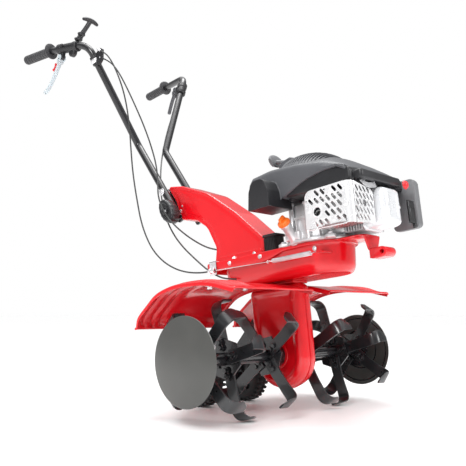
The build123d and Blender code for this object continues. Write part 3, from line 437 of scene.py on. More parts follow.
material("red_paint", (0.66, 0.004, 0.010), 0.20, coat=0.35, grain=(420, 0.05), mottle=(6, 0.06), edge=1.5)
material("black_paint", (0.010, 0.010, 0.012), 0.24, coat=0.5, grain=(500, 0.08), mottle=(12, 0.3))
material("blade_steel", (0.012, 0.013, 0.015), 0.30, coat=0.35, grain=(260, 0.14), mottle=(18, 0.4),
         wear=(0.20, 0.20, 0.20))
material("disc_steel", (0.066, 0.066, 0.062), 0.38, metal=0.2, coat=0.15, grain=(700, 0.10),
         mottle=(5, 0.22), wear=(0.30, 0.30, 0.30))
material("bare_steel", (0.50, 0.50, 0.50), 0.28, metal=1.0, grain=(300, 0.05), mottle=(30, 0.12))
material("zinc", (0.80, 0.80, 0.82), 0.24, metal=0.7, grain=(300, 0.05), mottle=(40, 0.12))
material("cast_aluminium", (0.66, 0.66, 0.67), 0.36, metal=0.6, grain=(650, 0.35), mottle=(22, 0.14),
         edge=1.5)
material("guard_steel", (0.72, 0.72, 0.73), 0.26, metal=0.35, grain=(200, 0.06), mottle=(14, 0.06))
material("dark_plastic", (0.078, 0.080, 0.088), 0.42, grain=(900, 0.22), mottle=(7, 0.08), edge=1.5)
material("black_plastic", (0.014, 0.014, 0.016), 0.38, grain=(900, 0.20), mottle=(9, 0.2))
material("grey_plastic", (0.150, 0.152, 0.160), 0.42, grain=(900, 0.20), mottle=(8, 0.08), edge=1.5)
material("white_cover", (0.68, 0.69, 0.71), 0.28, metal=0.25, coat=0.2, grain=(500, 0.10),
         mottle=(10, 0.05), edge=2.0)
material("grip_rubber", (0.040, 0.040, 0.043), 0.5, grain=(700, 0.35), mottle=(30, 0.25), specular=0.45)
material("wheel_rubber", (0.020, 0.020, 0.021), 0.62, grain=(500, 0.45), mottle=(20, 0.3), specular=0.35)
material("orange_plastic", (0.90, 0.16, 0.012), 0.38, grain=(800, 0.10), mottle=(14, 0.06))
material("red_plastic", (0.66, 0.014, 0.020), 0.34, grain=(800, 0.10), mottle=(14, 0.08))
material("lever_plastic", (0.70, 0.78, 0.82), 0.22, grain=(600, 0.05), mottle=(14, 0.06), transmit=0.35)
material("belt_rubber", (0.018, 0.018, 0.018), 0.7, grain=(400, 0.3), mottle=(30, 0.2))
material("cable_sheath", (0.028, 0.030, 0.030), 0.40, grain=(600, 0.10), mottle=(25, 0.2))

for node, item in frame["nodes"].items():
    wanted = next(part["material_slot"] for part in frame["record"]["subparts"] if part["node"] == node)
    for index in range(max(len(item.material_slots), 1)):
        if index < len(item.material_slots):
            item.material_slots[index].material = MATERIALS[wanted]
        else:
            item.data.materials.append(MATERIALS[wanted])


# ---- cables ----
# Route points in metres in the machine frame, as in the CAD.
CABLES = {
    "clutch_cable": (1.073, [
        (-.531, -.214, 1.092), (-.507, -.210, 1.074), (-.486, -.202, 1.040), (-.472, -.190, .992),
        (-.466, -.172, .932), (-.476, -.150, .867), (-.492, -.132, .800), (-.503, -.122, .735),
        (-.505, -.118, .670), (-.500, -.116, .608), (-.490, -.115, .545), (-.478, -.115, .484),
        (-.458, -.115, .430), (-.428, -.114, .375), (-.384, -.112, .329), (-.332, -.108, .295),
        (-.280, -.104, .275), (-.228, -.101, .265), (-.188, -.100, .2622), (-.154, -.100, .2616)]),
    "throttle_cable": (0.877, [
        (-.527, -.206, 1.062), (-.500, -.200, 1.044), (-.474, -.188, 1.006), (-.454, -.170, .946),
        (-.438, -.146, .872), (-.424, -.122, .796), (-.413, -.104, .722), (-.402, -.096, .654),
        (-.386, -.108, .590), (-.368, -.126, .536), (-.346, -.126, .484), (-.320, -.112, .438),
        (-.290, -.088, .398), (-.258, -.058, .364), (-.226, -.036, .343), (-.196, -.022, .336)]),
    "reverse_cable": (1.078, [
        (-.600, .194, 1.036), (-.606, .186, 1.004), (-.608, .174, .964), (-.606, .152, .918),
        (-.592, .122, .866), (-.570, .088, .810), (-.538, .046, .744), (-.506, .010, .684),
        (-.480, -.016, .626), (-.452, -.040, .566), (-.418, -.062, .506), (-.382, -.076, .452),
        (-.344, -.084, .402), (-.300, -.088, .356), (-.252, -.088, .314), (-.208, -.086, .276),
        (-.164, -.086, .248), (-.122, -.090, .232), (-.086, -.084, .227)]),
}
for name, (length, route) in CABLES.items():
    line = bpy.data.curves.new(name + "_line", "CURVE")
    line.dimensions = "3D"
    spline = line.splines.new("NURBS")
    spline.points.add(len(route) - 1)
    for point, (x, y, z) in zip(spline.points, route):
        point.co = (x * 1000, y * 1000, z * 1000, 1)
    spline.order_u, spline.use_endpoint_u, spline.resolution_u = 3, True, 10
    holder = bpy.data.objects.new(name + "_line", line)
    path = [v.co.copy() for v in bpy.data.meshes.new_from_object(holder).vertices]
    bpy.data.objects.remove(holder)
    sleeve = piece(name + "_sleeve", Mesh().tube(path, 2.5, 12), "cable_sheath", None, name,
                   slot="black_plastic")
    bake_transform(sleeve)


# ---- rotor ----
TIP, BLADE_HALF, BLADES = 160.0, 2.5, 4
# Each star's distance from the centre, and its first tine's angle on the left and on the right.
STARS = {"inner": (76.0, (-63.0, -53.0)), "middle": (240.0, (-78.0, -78.0)),
         "outer": (348.0, (-126.0, -138.0))}
BLADE_LENGTH, TIP_CUT = 186.0, 0.86
BOLT_REACH = (30.0, 44.0)


def spin(angle, flip):
    """The placement of a blade built along +X, turned about the axle, on one side."""
    turned = Matrix.Rotation(-math.radians(angle), 4, "Y")
    return Matrix.Scale(-1, 4, (0, 1, 0)) @ turned if flip else turned


def blade(mesh, y, reach):
    """An L-shaped tine: a flat root, a sideways bend, a curved foot with a cut tip."""
    line, bend = y + reach * 5.0, 26.0
    edge = TIP - BLADE_HALF
    path = [(x, line) for x in (22, 34, 50, 70, 95, 115, edge - bend)]
    for k in range(1, 9):
        t = math.pi / 2 * k / 8
        path.append((edge - bend + bend * math.sin(t), line + reach * bend * (1 - math.cos(t))))
    path += [(edge, line + reach * d) for d in (32, 40, 48, 56)]
    rings, travelled = [], 0.0
    for i, (x, yy) in enumerate(path):
        travelled += math.dist(path[i - 1], path[i]) if i else 0
        share = travelled / BLADE_LENGTH
        ahead = Vector(path[min(i + 1, len(path) - 1)]) - Vector(path[max(i - 1, 0)])
        normal = Vector((-ahead.y, ahead.x)).normalized() * BLADE_HALF
        sway = -4.0 * math.sin(math.pi * min(share * 1.25, 1)) + 3.0 * blend_in(0.6, 1, share)
        wide = 19.0 - 2.5 * math.sin(math.pi * min(share * 1.5, 1))
        front, back = sway + wide, sway - wide
        if share > TIP_CUT:
            front -= (share - TIP_CUT) / 0.14 * 24
        thin = 1 - 0.72 * blend_in(0.5, 0.75, share)
        section = [(-1, back + 1), (1, back + 1), (1, front - 5), (thin, front), (-thin, front),
                   (-1, front - 5)]
        ring = []
        for side, z in section:
            px, py = x + normal.x * side, yy + normal.y * side
            drop = 1 - math.cos(z / TIP) if share > 0.6 else 0
            ring.append((px - TIP * drop, py, z))
        rings.append(ring)
    return mesh.loft(rings)


for name, (y, phases) in STARS.items():
    tines = Mesh()
    for flip, phase in enumerate(phases):
        for index in range(BLADES):
            reach = {"inner": 1, "middle": 1 if index % 2 else -1, "outer": -1}[name]
            blade(tines.at(spin(phase + index * 90, flip)), y, reach)
    piece("tines_" + name, tines, "blade_steel", "rotor", "blades_" + name, angle=30)

CLIP_Y = 285.0
hardware, clips = Mesh(), Mesh()
for flip in (0, 1):
    sign = -1 if flip else 1
    for name, (y, phases) in STARS.items():
        for index in range(BLADES):
            turn = math.radians(phases[flip] + index * 90)
            for reach in BOLT_REACH:
                x, z = reach * math.cos(turn), reach * math.sin(turn)
                hardware.bolt((x, sign * (y + 7.6), z), (0, sign, 0), 12, 5)
                hardware.bolt((x, sign * (y - 7.6), z), (0, -sign, 0), 12, 5)
    clips.tube([(0, sign * CLIP_Y, 12), (0, sign * CLIP_Y, 34)], 3.2)
    clip = [(-2, 30), (-5, 38), (2, 43), (11, 36), (9, 24), (2, 19), (-4, 21), (-12, 18), (-22, 20)]
    clips.tube(curve_through([(x, sign * CLIP_Y, z) for x, z in clip]), 1.5, 8)
piece("tine_bolts", hardware, "black_paint", "rotor", "rotor_fasteners", slot="zinc")
piece("spring_clips", clips, "zinc", "rotor", "rotor_fasteners")

DISC_Y, DISC_R, DOME = 383.0, 112.5, 12.0


def dome(r, back=0.0):
    """The disc's distance from the centre plane at a radius; back is the depth of the inner face."""
    ball = (DISC_R ** 2 + DOME ** 2) / (2 * DOME)
    return DISC_Y + DOME - ball + math.sqrt((ball - back) ** 2 - r * r)


for face, back, finish in (("discs_outer", 0.0, "disc_steel"), ("discs_inner", 1.2, "black_paint")):
    plates = Mesh()
    for sign in (1, -1):
        plates.at(aim((0, 0, 0), (0, sign, 0), (1, 0, 0)))
        profile = [(r, dome(r, back) - 0.05) for r in (2, 12, 24, 36, 50, 64, 78, 90, 100, 108)]
        if back:
            profile = [(r, h) for r, h in profile[2:]] + [(111.0, dome(111) - 1.9), (111, dome(111) - 0.9)]
            profile += [(r, h + 0.7) for r, h in profile[:-2][::-1]]
        else:
            profile += [(111.6, dome(111) - 0.1), (112.5, dome(111) - 1.2), (111.6, dome(111) - 2.2)]
            profile += [(r, dome(r) - under) for r, under in ((108, 1.6), (100, 1.2), (60, 1.2), (2, 1.2))]
        plates.lathe(profile, 96)
        if back:
            plates.lathe([(13, 377), (24, 377), (25, 379), (25, 392), (13, 392)], 40)
    piece(face, plates, finish, "rotor", "side_discs", angle=50)

# ---- gear case ----
CASE_CORNERS = [(-90, 198, 1, -1), (95, 198, -1, -1), (95, -93, -1, 1), (-80, -93, 1, 1)]
CASE_SECTION = [(-2, 0.1), (-2, 1.3), (0.2, 2.0), (0.1, 8), (0.9, 16), (3.2, 24), (7.6, 30.4), (13, 34.3),
                (18.5, 35.8), (23.5, 35.0), (27.5, 32.2), (31, 30.0), (36, 29.4), (44, 29.2)]
case = Mesh()


def case_ring(draw, y):
    """The gear case's outline drawn in, at a distance from the centre plane."""
    corners = [(x + draw * sx, z + draw * sz) for x, z, sx, sz in CASE_CORNERS]
    return spread(rounded(corners, [max(r - draw, 5) for r in (22, 22, 85, 85)], 14), y, "y")


case.loft([case_ring(d, -y) for d, y in CASE_SECTION[::-1]] + [case_ring(d, y) for d, y in CASE_SECTION])
for sign in (1, -1):
    case.turned((0, 0, 0), (0, sign, 0), [(12, 28), (38, 28), (37, 31.5), (35, 32.6), (12, 32.6)], 48)
case.box((-78, 84), (-33, 33), (196, 202.6), 2)
piece("case_pressing", case, "red_paint", "chassis", "case_right", "case_left")

# ---- deck and belt cover ----
CRANK_X = 178.0
BOWL_BACK, BOWL_HALF = -150.0, 86.0
BOWL_SECTION = [(-5, 284), (-5.4, 282.6), (-4.6, 281.6), (0.2, 281.2), (1.8, 279.4), (2.6, 274), (3.2, 266),
                (4.2, 252), (5.4, 238), (6.8, 224), (9.2, 214.5), (13.5, 207.6), (19.5, 203.8), (27, 202.4),
                (38, 202.1)]


def bowl_ring(draw, z):
    """The cover's outline drawn in at a height, with its flanks waisted behind the pulley."""
    half, back_round = BOWL_HALF - draw, max(38 - draw * 0.4, 10)
    corners = rectangle((BOWL_BACK + draw, CRANK_X + half), (-half, half))
    ring = divided(rounded(corners, [back_round, half - 0.5, half - 0.5, back_round], 16), 35, 6)
    waist = 0.055 * blend_in(280, 268, z) * blend_in(204, 214, z)
    return [(x, y * (1 - waist * (1 - blend_in(28, 62, x)) * blend_in(-148, -120, x)), z) for x, y in ring]


bowl = Mesh().loft([bowl_ring(d, z) for d, z in BOWL_SECTION])
piece("cover_pressing", bowl, "red_paint", "chassis", "belt_cover", angle=50)

DECK_OUTLINE = divided(rounded(rectangle((-212, 270), (-92, 92)), [30, 91.5, 91.5, 30], 16), 60, 14)


def deck_ring(draw, z, skirt=False):
    """The deck's outline drawn in at a height; the skirt hangs lower towards the back."""
    ring = inset(DECK_OUTLINE, draw)
    drop = [26 - 19 * blend_in(30, 120, x) if skirt else 0 for x, y in ring]
    return [(x, y, z - d) for (x, y), d in zip(ring, drop)]


deck = Mesh().loft([deck_ring(4, 288), deck_ring(1.6, 287.6), deck_ring(0.5, 286.4), deck_ring(0, 284.6),
                    deck_ring(0, 287, True), deck_ring(0.3, 286, True), deck_ring(1.5, 286, True),
                    deck_ring(1.8, 287, True), deck_ring(1.9, 284.2), deck_ring(4, 284)])
deck.slab(rounded(rectangle((190, 332), (-48, 48)), [2, 30, 30, 2], 8), 284, 288, "z", 1.6)
deck.slab(rounded([(-38, 287), (38, 287), (20, 246), (-20, 246)], [3, 3, 8, 8]), 326.5, 332, "x", 1.6)
deck.slab(rounded([(-206, 288), (-8, 288), (-8, 309), (-198, 309)], [2, 2, 6, 6]), -49.4, 49.4, "y", 2.0)
piece("deck_pressing", deck, "red_paint", "chassis", "deck_plate", angle=50)
tongue = Mesh()
nose = rounded(rectangle((332, 381), (250, 224)), [2, 12.9, 12.9, 2], 8)
cut_plate(tongue, nose, [ellipse(6, 6, 28, (368, 237))], 48, Matrix.Rotation(math.pi / 2, 4, "X"), 0.9)
piece("front_tongue", tongue, "red_paint", "chassis", "front_bumper")

# ---- fenders ----
FENDER_PATH = [(-230, 100), (-219, 128), (-182, 155), (-135, 183), (-71, 196), (0, 196), (70, 188),
               (152, 163)]
FENDER_LINE = curve_through([(x, 0, z) for x, z in FENDER_PATH], 7)
FLUTES, FLUTE_HALF, FLUTE_RISE = (262.0, 292.0, 322.0), 10.0, 5.0


def fender_section():
    """(y, offset) pairs from the inner web, over the flutes, to the turned outer edge."""
    section = [(38.2, -12), (38.2, -5), (39.5, -1.6), (42.5, -0.1), (48, 0)]
    y = 60.0
    while y < 340:
        rise = sum(0.5 + 0.5 * math.cos(math.pi * min(abs(y - c) / FLUTE_HALF, 1)) for c in FLUTES)
        section.append((y, rise * FLUTE_RISE))
        y += 2.5 if y > 248 else 12.5
    return section + [(343.5, -0.3), (347.4, -1.8), (349.4, -4.8), (350, -8.5), (349.9, -12)]


for side, sign in (("right", -1), ("left", 1)):
    guard = Mesh()
    rings = []
    for i, p in enumerate(FENDER_LINE):
        ahead = (FENDER_LINE[min(i + 1, len(FENDER_LINE) - 1)] - FENDER_LINE[max(i - 1, 0)]).normalized()
        normal = Vector((-ahead.z, 0, ahead.x))
        taper = blend_in(0, 3, i) * blend_in(len(FENDER_LINE) - 1, len(FENDER_LINE) - 6, i)
        rings.append([p + normal * (2.5 + (off if off < 0 else off * taper)) + Vector((0, sign * y, 0))
                      for y, off in fender_section()])
    guard.loft(rings, closed=False, caps=False)
    piece("guard_" + side, guard, "red_paint", "chassis", "fender_" + side, solid=0.0024, angle=60)
    hem = Mesh()
    for ring in (rings[0], rings[-1]):
        hem.tube(ring[2:-2], 3.0, 10)
    piece("guard_hem_" + side, hem, "red_paint", "chassis", "fender_" + side)

# ---- steering column ----
COLUMN = [(-4, 288), (3, 337), (-102, 436), (-217, 523), (-339, 577), (-412, 592), (-372, 531), (-348, 462),
          (-276, 445), (-232, 413), (-197, 341), (-208, 288)]
COLUMN_RADII = [3, 12, 120, 120, 90, 8, 60, 14, 45, 60, 22, 3]
column = Mesh()
COLUMN_SECTION = [(7, 46.2), (5, 46.9), (2.2, 45.6), (0.6, 43.4), (0, 40)]
rings = [(0, 39)] + COLUMN_SECTION[::-1] + [(15, 46.2), (17, 46.9), (26, 47.0)]
levels = [(d, -y) for d, y in rings[::-1]] + rings
column.loft([spread(shrunk(COLUMN, COLUMN_RADII, d, 10), y, "y") for d, y in levels])
intake = Mesh().box((10, 56), (-62, -16), (289, 336), 6, 10)
intake.box((6, 60), (-66, -12), (333, 341), 3, 12)
for x in range(16, 54, 6):
    intake.box((x - 1.6, x + 1.6), (-64, -60), (296, 330), 1)
piece("intake_box", intake, "black_plastic", "chassis")
piece("column_pressing", column, "red_paint", "chassis", "column_shell", angle=50)

fixings = Mesh()
for sign in (1, -1):
    for x, z in ((-339, 508), (-348, 495), (-352, 483)):
        fixings.bolt((x, sign * 47.2, z), (0, sign, 0), 6, 2.5, False)
    for x in (-120, -38):
        fixings.bolt((x, sign * 49.2, 298), (0, sign, 0), 7, 3)
    for x, y in ((-30, 110), (-30, 250)):
        fixings.bolt((x, sign * y, 199), (0, 0, 1), 13, 5)
        fixings.bolt((x, sign * y, 194.5), (0, 0, -1), 13, 8)
    for x, y, z in ((-100, 92.2, 276), (20, 92.2, 276), (205, 83, 268)):
        fixings.bolt((x, sign * y, z), (0, sign, 0), 8, 3.5)
for x in (-196, -100):
    for y in (70, -70):
        fixings.bolt((x, y, 288), (0, 0, 1), 13, 6)
piece("body_fixings", fixings, "zinc", "chassis", "body_bolts")
rim_bolts = Mesh()
for sign in (1, -1):
    for x, z in ((80, 150), (80, 60), (-72, 150), (-68, 60)):
        rim_bolts.bolt((x - math.copysign(5, x), sign * 34.6, z), (0, sign, 0), 6, 2.4)
piece("rim_bolts", rim_bolts, "red_paint", "chassis", "body_bolts")

holder = Mesh()
holder.box((-182, -154), (-96, -93.2), (250, 291), 0.8, 2)
holder.box((-182, -154), (-96, -79), (288, 291), 0.8, 2)
holder.turned((-181, -100, 262), (1, 0, 0), [(3.6, 0), (7, 0), (8, 1), (8, 9), (6.4, 10), (6.4, 16), (8, 17),
                                             (8, 25), (7, 26), (3.6, 26)], 28)
piece("cable_holder", holder, "zinc", "chassis", "cable_clips")

# ---- tension spring ----
COIL_START, COIL_END, COIL_Y, COIL_Z, COIL_RADIUS = 72.0, 203.0, -100.0, 254.5, 6.0
COIL_STEPS, STEPS_A_TURN = 552, 12
coil, wire = Mesh(), []
for k in range(COIL_STEPS + 1):
    t = 2 * math.pi * k / STEPS_A_TURN
    wire.append((COIL_START + (COIL_END - COIL_START) * k / COIL_STEPS, COIL_Y + COIL_RADIUS * math.cos(t),
                 COIL_Z + COIL_RADIUS * math.sin(t)))
coil.tube(wire, 1.05, 6)
HOOKS = [[(72, -94, 254.5), (66, -98, 254.5), (58, -100, 256), (53, -100, 258), (51, -100, 254.5),
          (54, -100, 251.5), (58, -100, 252.5)],
         [(203, -94, 254.5), (209, -98, 254.5), (217, -100, 255), (223.4, -100, 254.5)]]
for hook in HOOKS:
    coil.tube(curve_through(hook), 1.2, 8)
coil.tube([(-152, -100, 262), (-40, -100, 258), (54, -100, 254.5)], 1.2, 8)
spring = piece("tension_coil", coil, "zinc", None, "tension_spring")
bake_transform(spring)

# ---- engine: crankcase and oil filler ----
def round_crank(angle=0):
    """The placement of a shape built along +X, turned about the crankshaft."""
    return Matrix.Translation((CRANK_X, 0, 0)) @ Matrix.Rotation(math.radians(angle), 4, "Z")


engine = Mesh().at(round_crank())
engine.lathe([(60, 288.2), (102.5, 288.2), (104, 289.6), (104, 295), (102.4, 297), (92, 297.2), (90, 299),
              (88, 306), (86.5, 312), (86.5, 350), (89, 352), (93, 353), (93, 361), (89, 362), (86.5, 364),
              (86.5, 392), (84, 395), (40, 396)], 72)
lug = rounded([(84, -20), (126, -11), (126, 11), (84, 20)], [4, 10.5, 10.5, 4])
for angle in range(45, 405, 90):
    engine.at(round_crank(angle)).slab(lug, 288.2, 297, "z", 1.5)
for angle in range(20, 380, 20):
    engine.at(round_crank(angle)).box((84, 99), (-2, 2), (296, 352), 0.9)
engine.at().box((238, 282), (-50, 50), (302, 392), 4, 8)
for angle, height in ((-112, 398), (-78, 392), (112, 398), (70, 392), (180, 398)):
    x, y = CRANK_X + 94 * math.cos(math.radians(angle)), 94 * math.sin(math.radians(angle))
    post = [(8.5, 296), (8.5, 300), (7.2, 303), (7.2, height - 3), (9.5, height - 1), (9.5, height + 4),
            (5, height + 5)]
    engine.at(Matrix.Translation((x, y, 0))).lathe(post, 24)
foot, mouth = Vector((146, -92, 306)), Vector((146, -124, 340))
neck = [(17, 0), (15, 8), (13, 14), (13, 52), (15, 54), (15, 60.5), (9, 60.6)]
engine.turned(foot - (mouth - foot) * 0.3, mouth - foot, neck, 32)
engine.box((120, 172), (-100, -78), (298, 322), 4, 8)
piece("crankcase", engine, "cast_aluminium", "chassis", "engine_block", angle=45)

filler = Mesh().at(aim(mouth + (mouth - foot).normalized() * 0.4, mouth - foot))
filler.lathe([(10, 0), (16.5, 0), (17, 1), (17, 9), (16, 11), (14, 12.5), (5, 13)], 40)
for x, y in ellipse(17, 17, 20):
    filler.tube([(x, y, 1), (x, y, 9)], 0.8, 6)
filler.slab(rounded([(-15, 11), (-11, 24), (11, 24), (15, 11)], [2, 4, 4, 2]), -3.2, 3.2, "y", 1.4)
piece("filler_cap", filler, "orange_plastic", "oil_filler_cap", "oil_cap")

# ---- engine: rocker cover ----
rocker = Mesh()
head_corners, head_radii = rectangle((-62, 30), (292, 402)), [16, 16, 24, 24]
levels = [(0, 346), (0, 351.5), (1, 352.6), (3.6, 353.2), (4.0, 356), (5.0, 390), (7.0, 400), (10.5, 407.5),
          (15.5, 412), (21, 413.6), (26, 413.2), (28.5, 412), (33, 411.8)]
rocker.loft([spread(shrunk(head_corners, head_radii, d, 8), x, "x") for d, x in levels])
for y in (-44, 12):
    rocker.turned((411, y, 345), (1, 0, 0), [(1, 0), (5, 0), (5, 1.6), (4, 2.4), (1, 2.4)], 20)
piece("head_cover", rocker, "white_cover", "chassis", "rocker_cover", angle=55)

# ---- engine: slotted muffler guard ----
# A flank plate, a rounded corner and a front plate; each rivet has the room that it keeps.
OUTLET, FRONT_HOLE = (286.0, 340.0), (-108.0, 348.0)
RIVETS = [((330, 382), 12), ((262, 347), 10), ((333, 312), 11), ((372, 344), 10)]
KEEP_CLEAR = [(OUTLET, 26)] + RIVETS
guard = Mesh()


def slot_places(columns, lines, origin, pitch, lean, length, width):
    """Slanted slots in staggered rows."""
    for line in range(lines):
        for step in range(columns):
            u, v = origin[0] + step * pitch[0] + line * lean, origin[1] + line * pitch[1]
            yield (u, v), capsule((u, v), length, width, -52)


side_slots = []
for (u, v), slot in slot_places(10, 5, (226, 311), (17.5, 19.0), 2.65, 19.5, 7.6):
    if 259 < u < 368 and not (u < 272 and (v > 384 or v < 314)) \
            and all(math.dist((u, v), place) > reach for place, reach in KEEP_CLEAR):
        side_slots.append(slot)
side_slots += [ellipse(2.6, 2.6, 10, c) for c in ((255, 372), (313, 391), (302, 304), (352, 305))]
flank = rounded([(248, 298), (370, 296), (370, 400), (252, 398)], [14, 2, 2, 20], 6)
to_flank = Matrix(((1, 0, 0, 0), (0, 0, -1, -168), (0, 1, 0, 0), (0, 0, 0, 1)))
cut_plate(guard, flank, side_slots + [ellipse(13, 13, 28, OUTLET)], 2.4, to_flank)
front_slots = []
for (u, v), slot in slot_places(8, 5, (-160, 311), (16.0, 18.0), 1.94, 18.5, 7.0):
    if -145 < u < -74 and math.dist((u, v), FRONT_HOLE) > 15 and not (u > -86 and (v > 376 or v < 312)):
        front_slots.append(slot)
to_front = Matrix(((0, 0, 1, 386), (1, 0, 0, 0), (0, 1, 0, 0), (0, 0, 0, 1)))
front = rounded([(-150, 296), (-66, 300), (-66, 386), (-150, 400)], [2, 12, 16, 2], 6)
cut_plate(guard, front, front_slots + [ellipse(9, 9, 20, FRONT_HOLE)], 2.4, to_front)
quarter = [math.pi / 2 * k / 8 for k in range(9)]
corner = [(370 + 16 * math.sin(t), -152 - 16 * math.cos(t)) for t in quarter]
corner += [(370 + 13.8 * math.sin(t), -152 - 13.8 * math.cos(t)) for t in quarter[::-1]]
guard.loft([spread(corner, z, "z") for z in (296.3, 330, 365, 399.7)])
guard.tube([(x, -167.2, z) for x, z in flank[:8]], 1.6, 8)
lip = [(10.5, 0), (14.5, 0), (16, 1.6), (15, 3.4), (12.4, 3.9), (11, 2.8), (10.5, 0.5)]
guard.turned((OUTLET[0], -166.5, OUTLET[1]), (0, -1, 0), lip, 40)
for x, z in (place for place, room in RIVETS):
    guard.turned((x, -168.6, z), (0, -1, 0), [(1, -1), (7, -1), (7, 0.3), (5.5, 1.3), (1, 1.5)], 20)
piece("heat_guard", guard, "guard_steel", "chassis", "muffler_guard", angle=40)
pipe = [(11.4, 0), (11.4, 17.5), (10, 17.8), (9.6, 17), (9.6, 3), (1, 2)]
outlet = Mesh().turned((OUTLET[0], -150, OUTLET[1]), (0, -1, 0), pipe, 36)
piece("exhaust_outlet", outlet, "black_paint", "chassis")
strap = Mesh()
strap_line = [(378, -112, 424), (381, -104, 414), (384, -96, 402), (387, -84, 397), (389, -66, 398),
              (389, -52, 402)]
strap.strip(curve_through(strap_line, 4), rectangle((-1.2, 1.2), (-7, 7)), side=(1, 0, 0))
piece("guard_strap", strap, "zinc", "chassis")

# ---- engine: shroud ----
# A crowned shell lofted along X, with an arch cut in its right flank whose niche walls are painted black as
# shade. Each table gives a height at x.
SHROUD_STATIONS = [42, 44, 50, 60, 72, *range(85, 160, 15), *range(160, 341, 18), 356, 366, 371, 372.4]
SHROUD_RIGHT, SHROUD_LEFT = -148.0, 118.0
CROWN = [(42, 470), (52, 487), (80, 498), (120, 502), (178, 504), (230, 504), (262, 506), (292, 502),
         (340, 472), (372, 448)]
FLANK = [(42, 462), (60, 484), (124, 491), (212, 486), (297, 472), (340, 456), (372, 442)]
BELOW = [(42, 429), (90, 424), (165, 405), (200, 420), (240, 436), (300, 446), (340, 446), (372, 436)]
shroud = Mesh()
sections = []
for x in SHROUD_STATIONS:
    crown, flank_top, below = (table_value(t, x) for t in (CROWN, FLANK, BELOW))
    draw = 5 * (1 - blend_in(42, 50, x)) + 8 * blend_in(362, 372.4, x)
    right, left, halfway = SHROUD_RIGHT + draw, SHROUD_LEFT - draw, (below + flank_top) / 2
    points = [(right + 3, below), (right + 0.4, below + 2), (right, below + 8), (right + 0.6, halfway),
              (right + 2, flank_top - 10), (right + 4.5, flank_top - 3), (right + 9, flank_top + 2)]
    for k in range(1, 20):
        t = -1 + 2 * k / 20
        y = (right + left) / 2 + t * (left - right - 22) / 2
        points.append((y, flank_top + 3 + (crown - flank_top - 3) * (1 - abs(t) ** 2.4)))
    points += [(left - 9, flank_top + 2), (left - 4.5, flank_top - 3), (left - 2, flank_top - 10),
               (left - 0.6, halfway), (left, below + 8), (left - 0.4, below + 2), (left - 3, below)]
    sections.append([(x, y, z - draw * 0.5) for y, z in points])
shroud.loft(sections)
arch = rounded([(86, 380), (160, 380), (158, 425), (146, 458), (106, 458), (92, 430)],
               [2, 2, 20, 22, 22, 20], 8)
# The cutter's black plastic finish passes to the arch's niche walls: painted shade that darkens the recess.
cutter = piece("arch_shade_cut", Mesh().slab(arch, -200, -104, "y", 0.5), "black_plastic", None)
piece("shroud_shell", shroud, "dark_plastic", "chassis", "engine_shroud", cutter=cutter, angle=42)
rim_line = rounded([(86, 424), (92, 432), (106, 458), (146, 458), (158, 425), (160, 404)],
                   [1, 10, 22, 22, 20, 1], 8)
lip = Mesh().tube(spread(rim_line, SHROUD_RIGHT - 0.2, "y"), 2.0, 8)
piece("arch_lip", lip, "dark_plastic", "chassis")
under = Mesh()
under.slab(rounded([(172, 406), (330, 398), (376, 408), (376, 440), (240, 462), (172, 430)],
                   [6, 20, 8, 8, 30, 10], 5), -144, 110, "y", 5)
under.slab(rounded([(58, 414), (176, 402), (176, 428), (64, 436)], [6, 4, 4, 6], 5), -118, 108, "y", 5)
under.box((352, 400), (-128, 60), (408, 432), 5, 8)
under.box((300, 376), (40, 62), (380, 432), 3, 5)
piece("inner_shroud", under, "black_plastic", "chassis")

# ---- engine: recoil starter ----
# A shallow dome, tilted about its own centre, with slats across it.
recoil = Mesh().at(Matrix.Translation((CRANK_X, -6, 520)) @ Matrix.Rotation(math.radians(4), 4, "Y")
                   @ Matrix.Translation((0, 0, -520)))
DOME_LINE = [(105, 484), (102, 496), (95, 507), (84, 517.5), (70, 527), (52, 535), (34, 540.5), (16, 543.5),
             (1, 544)]
SLAT_SECTION = [(-1.9, -2.5), (1.9, -2.5), (1.9, 0.8), (1.3, 1.6), (-1.3, 1.6), (-1.9, 0.8)]
recoil.lathe(DOME_LINE, 72)
for u in range(-80, 81, 8):
    half = math.sqrt(101 ** 2 - u * u)
    bar = []
    for j in range(17):
        v = -half + 2 * half * j / 16
        z = table_value(DOME_LINE[::-1], math.hypot(u, v))
        bar.append((u, v, z + 1.6 - 4 * (abs(j - 8) / 8) ** 6))
    recoil.strip(bar, SLAT_SECTION, side=(1, 0, 0))
snout = rounded([(70, 520), (86, 545), (118, 552), (150, 540), (150, 516)], [4, 6, 10, 6, 2])
recoil.at().slab(snout, -42, -18, "y", 4)
piece("recoil_dome", recoil, "dark_plastic", "chassis", "recoil_cover", angle=42)
pull = Mesh()
grip_line = [(60, -54, 548), (57, -44, 555), (57, -30, 557), (57, -16, 555), (60, -6, 548)]
handle_line = curve_through(grip_line, 4)
widths = [0.55 + 0.45 * math.sin(math.pi * min(max(k / (len(handle_line) - 1), 0.06), 0.94)) ** 0.5
          for k in range(len(handle_line))]
pull.strip(handle_line, [[(u * w, v * w) for u, v in ellipse(6.5, 19, 20)] for w in widths], side=(1, 0, 0))
pull.turned((58, -30, 554), (1, 0, -0.2), [(7, 0), (7, 6), (5.4, 14), (4.6, 26), (3, 32), (1, 32)], 20)
pull.tube([(84, -30, 550), (120, -30, 548)], 2.0, 8)
piece("pull_handle", pull, "grey_plastic", "starter", "starter_grip")

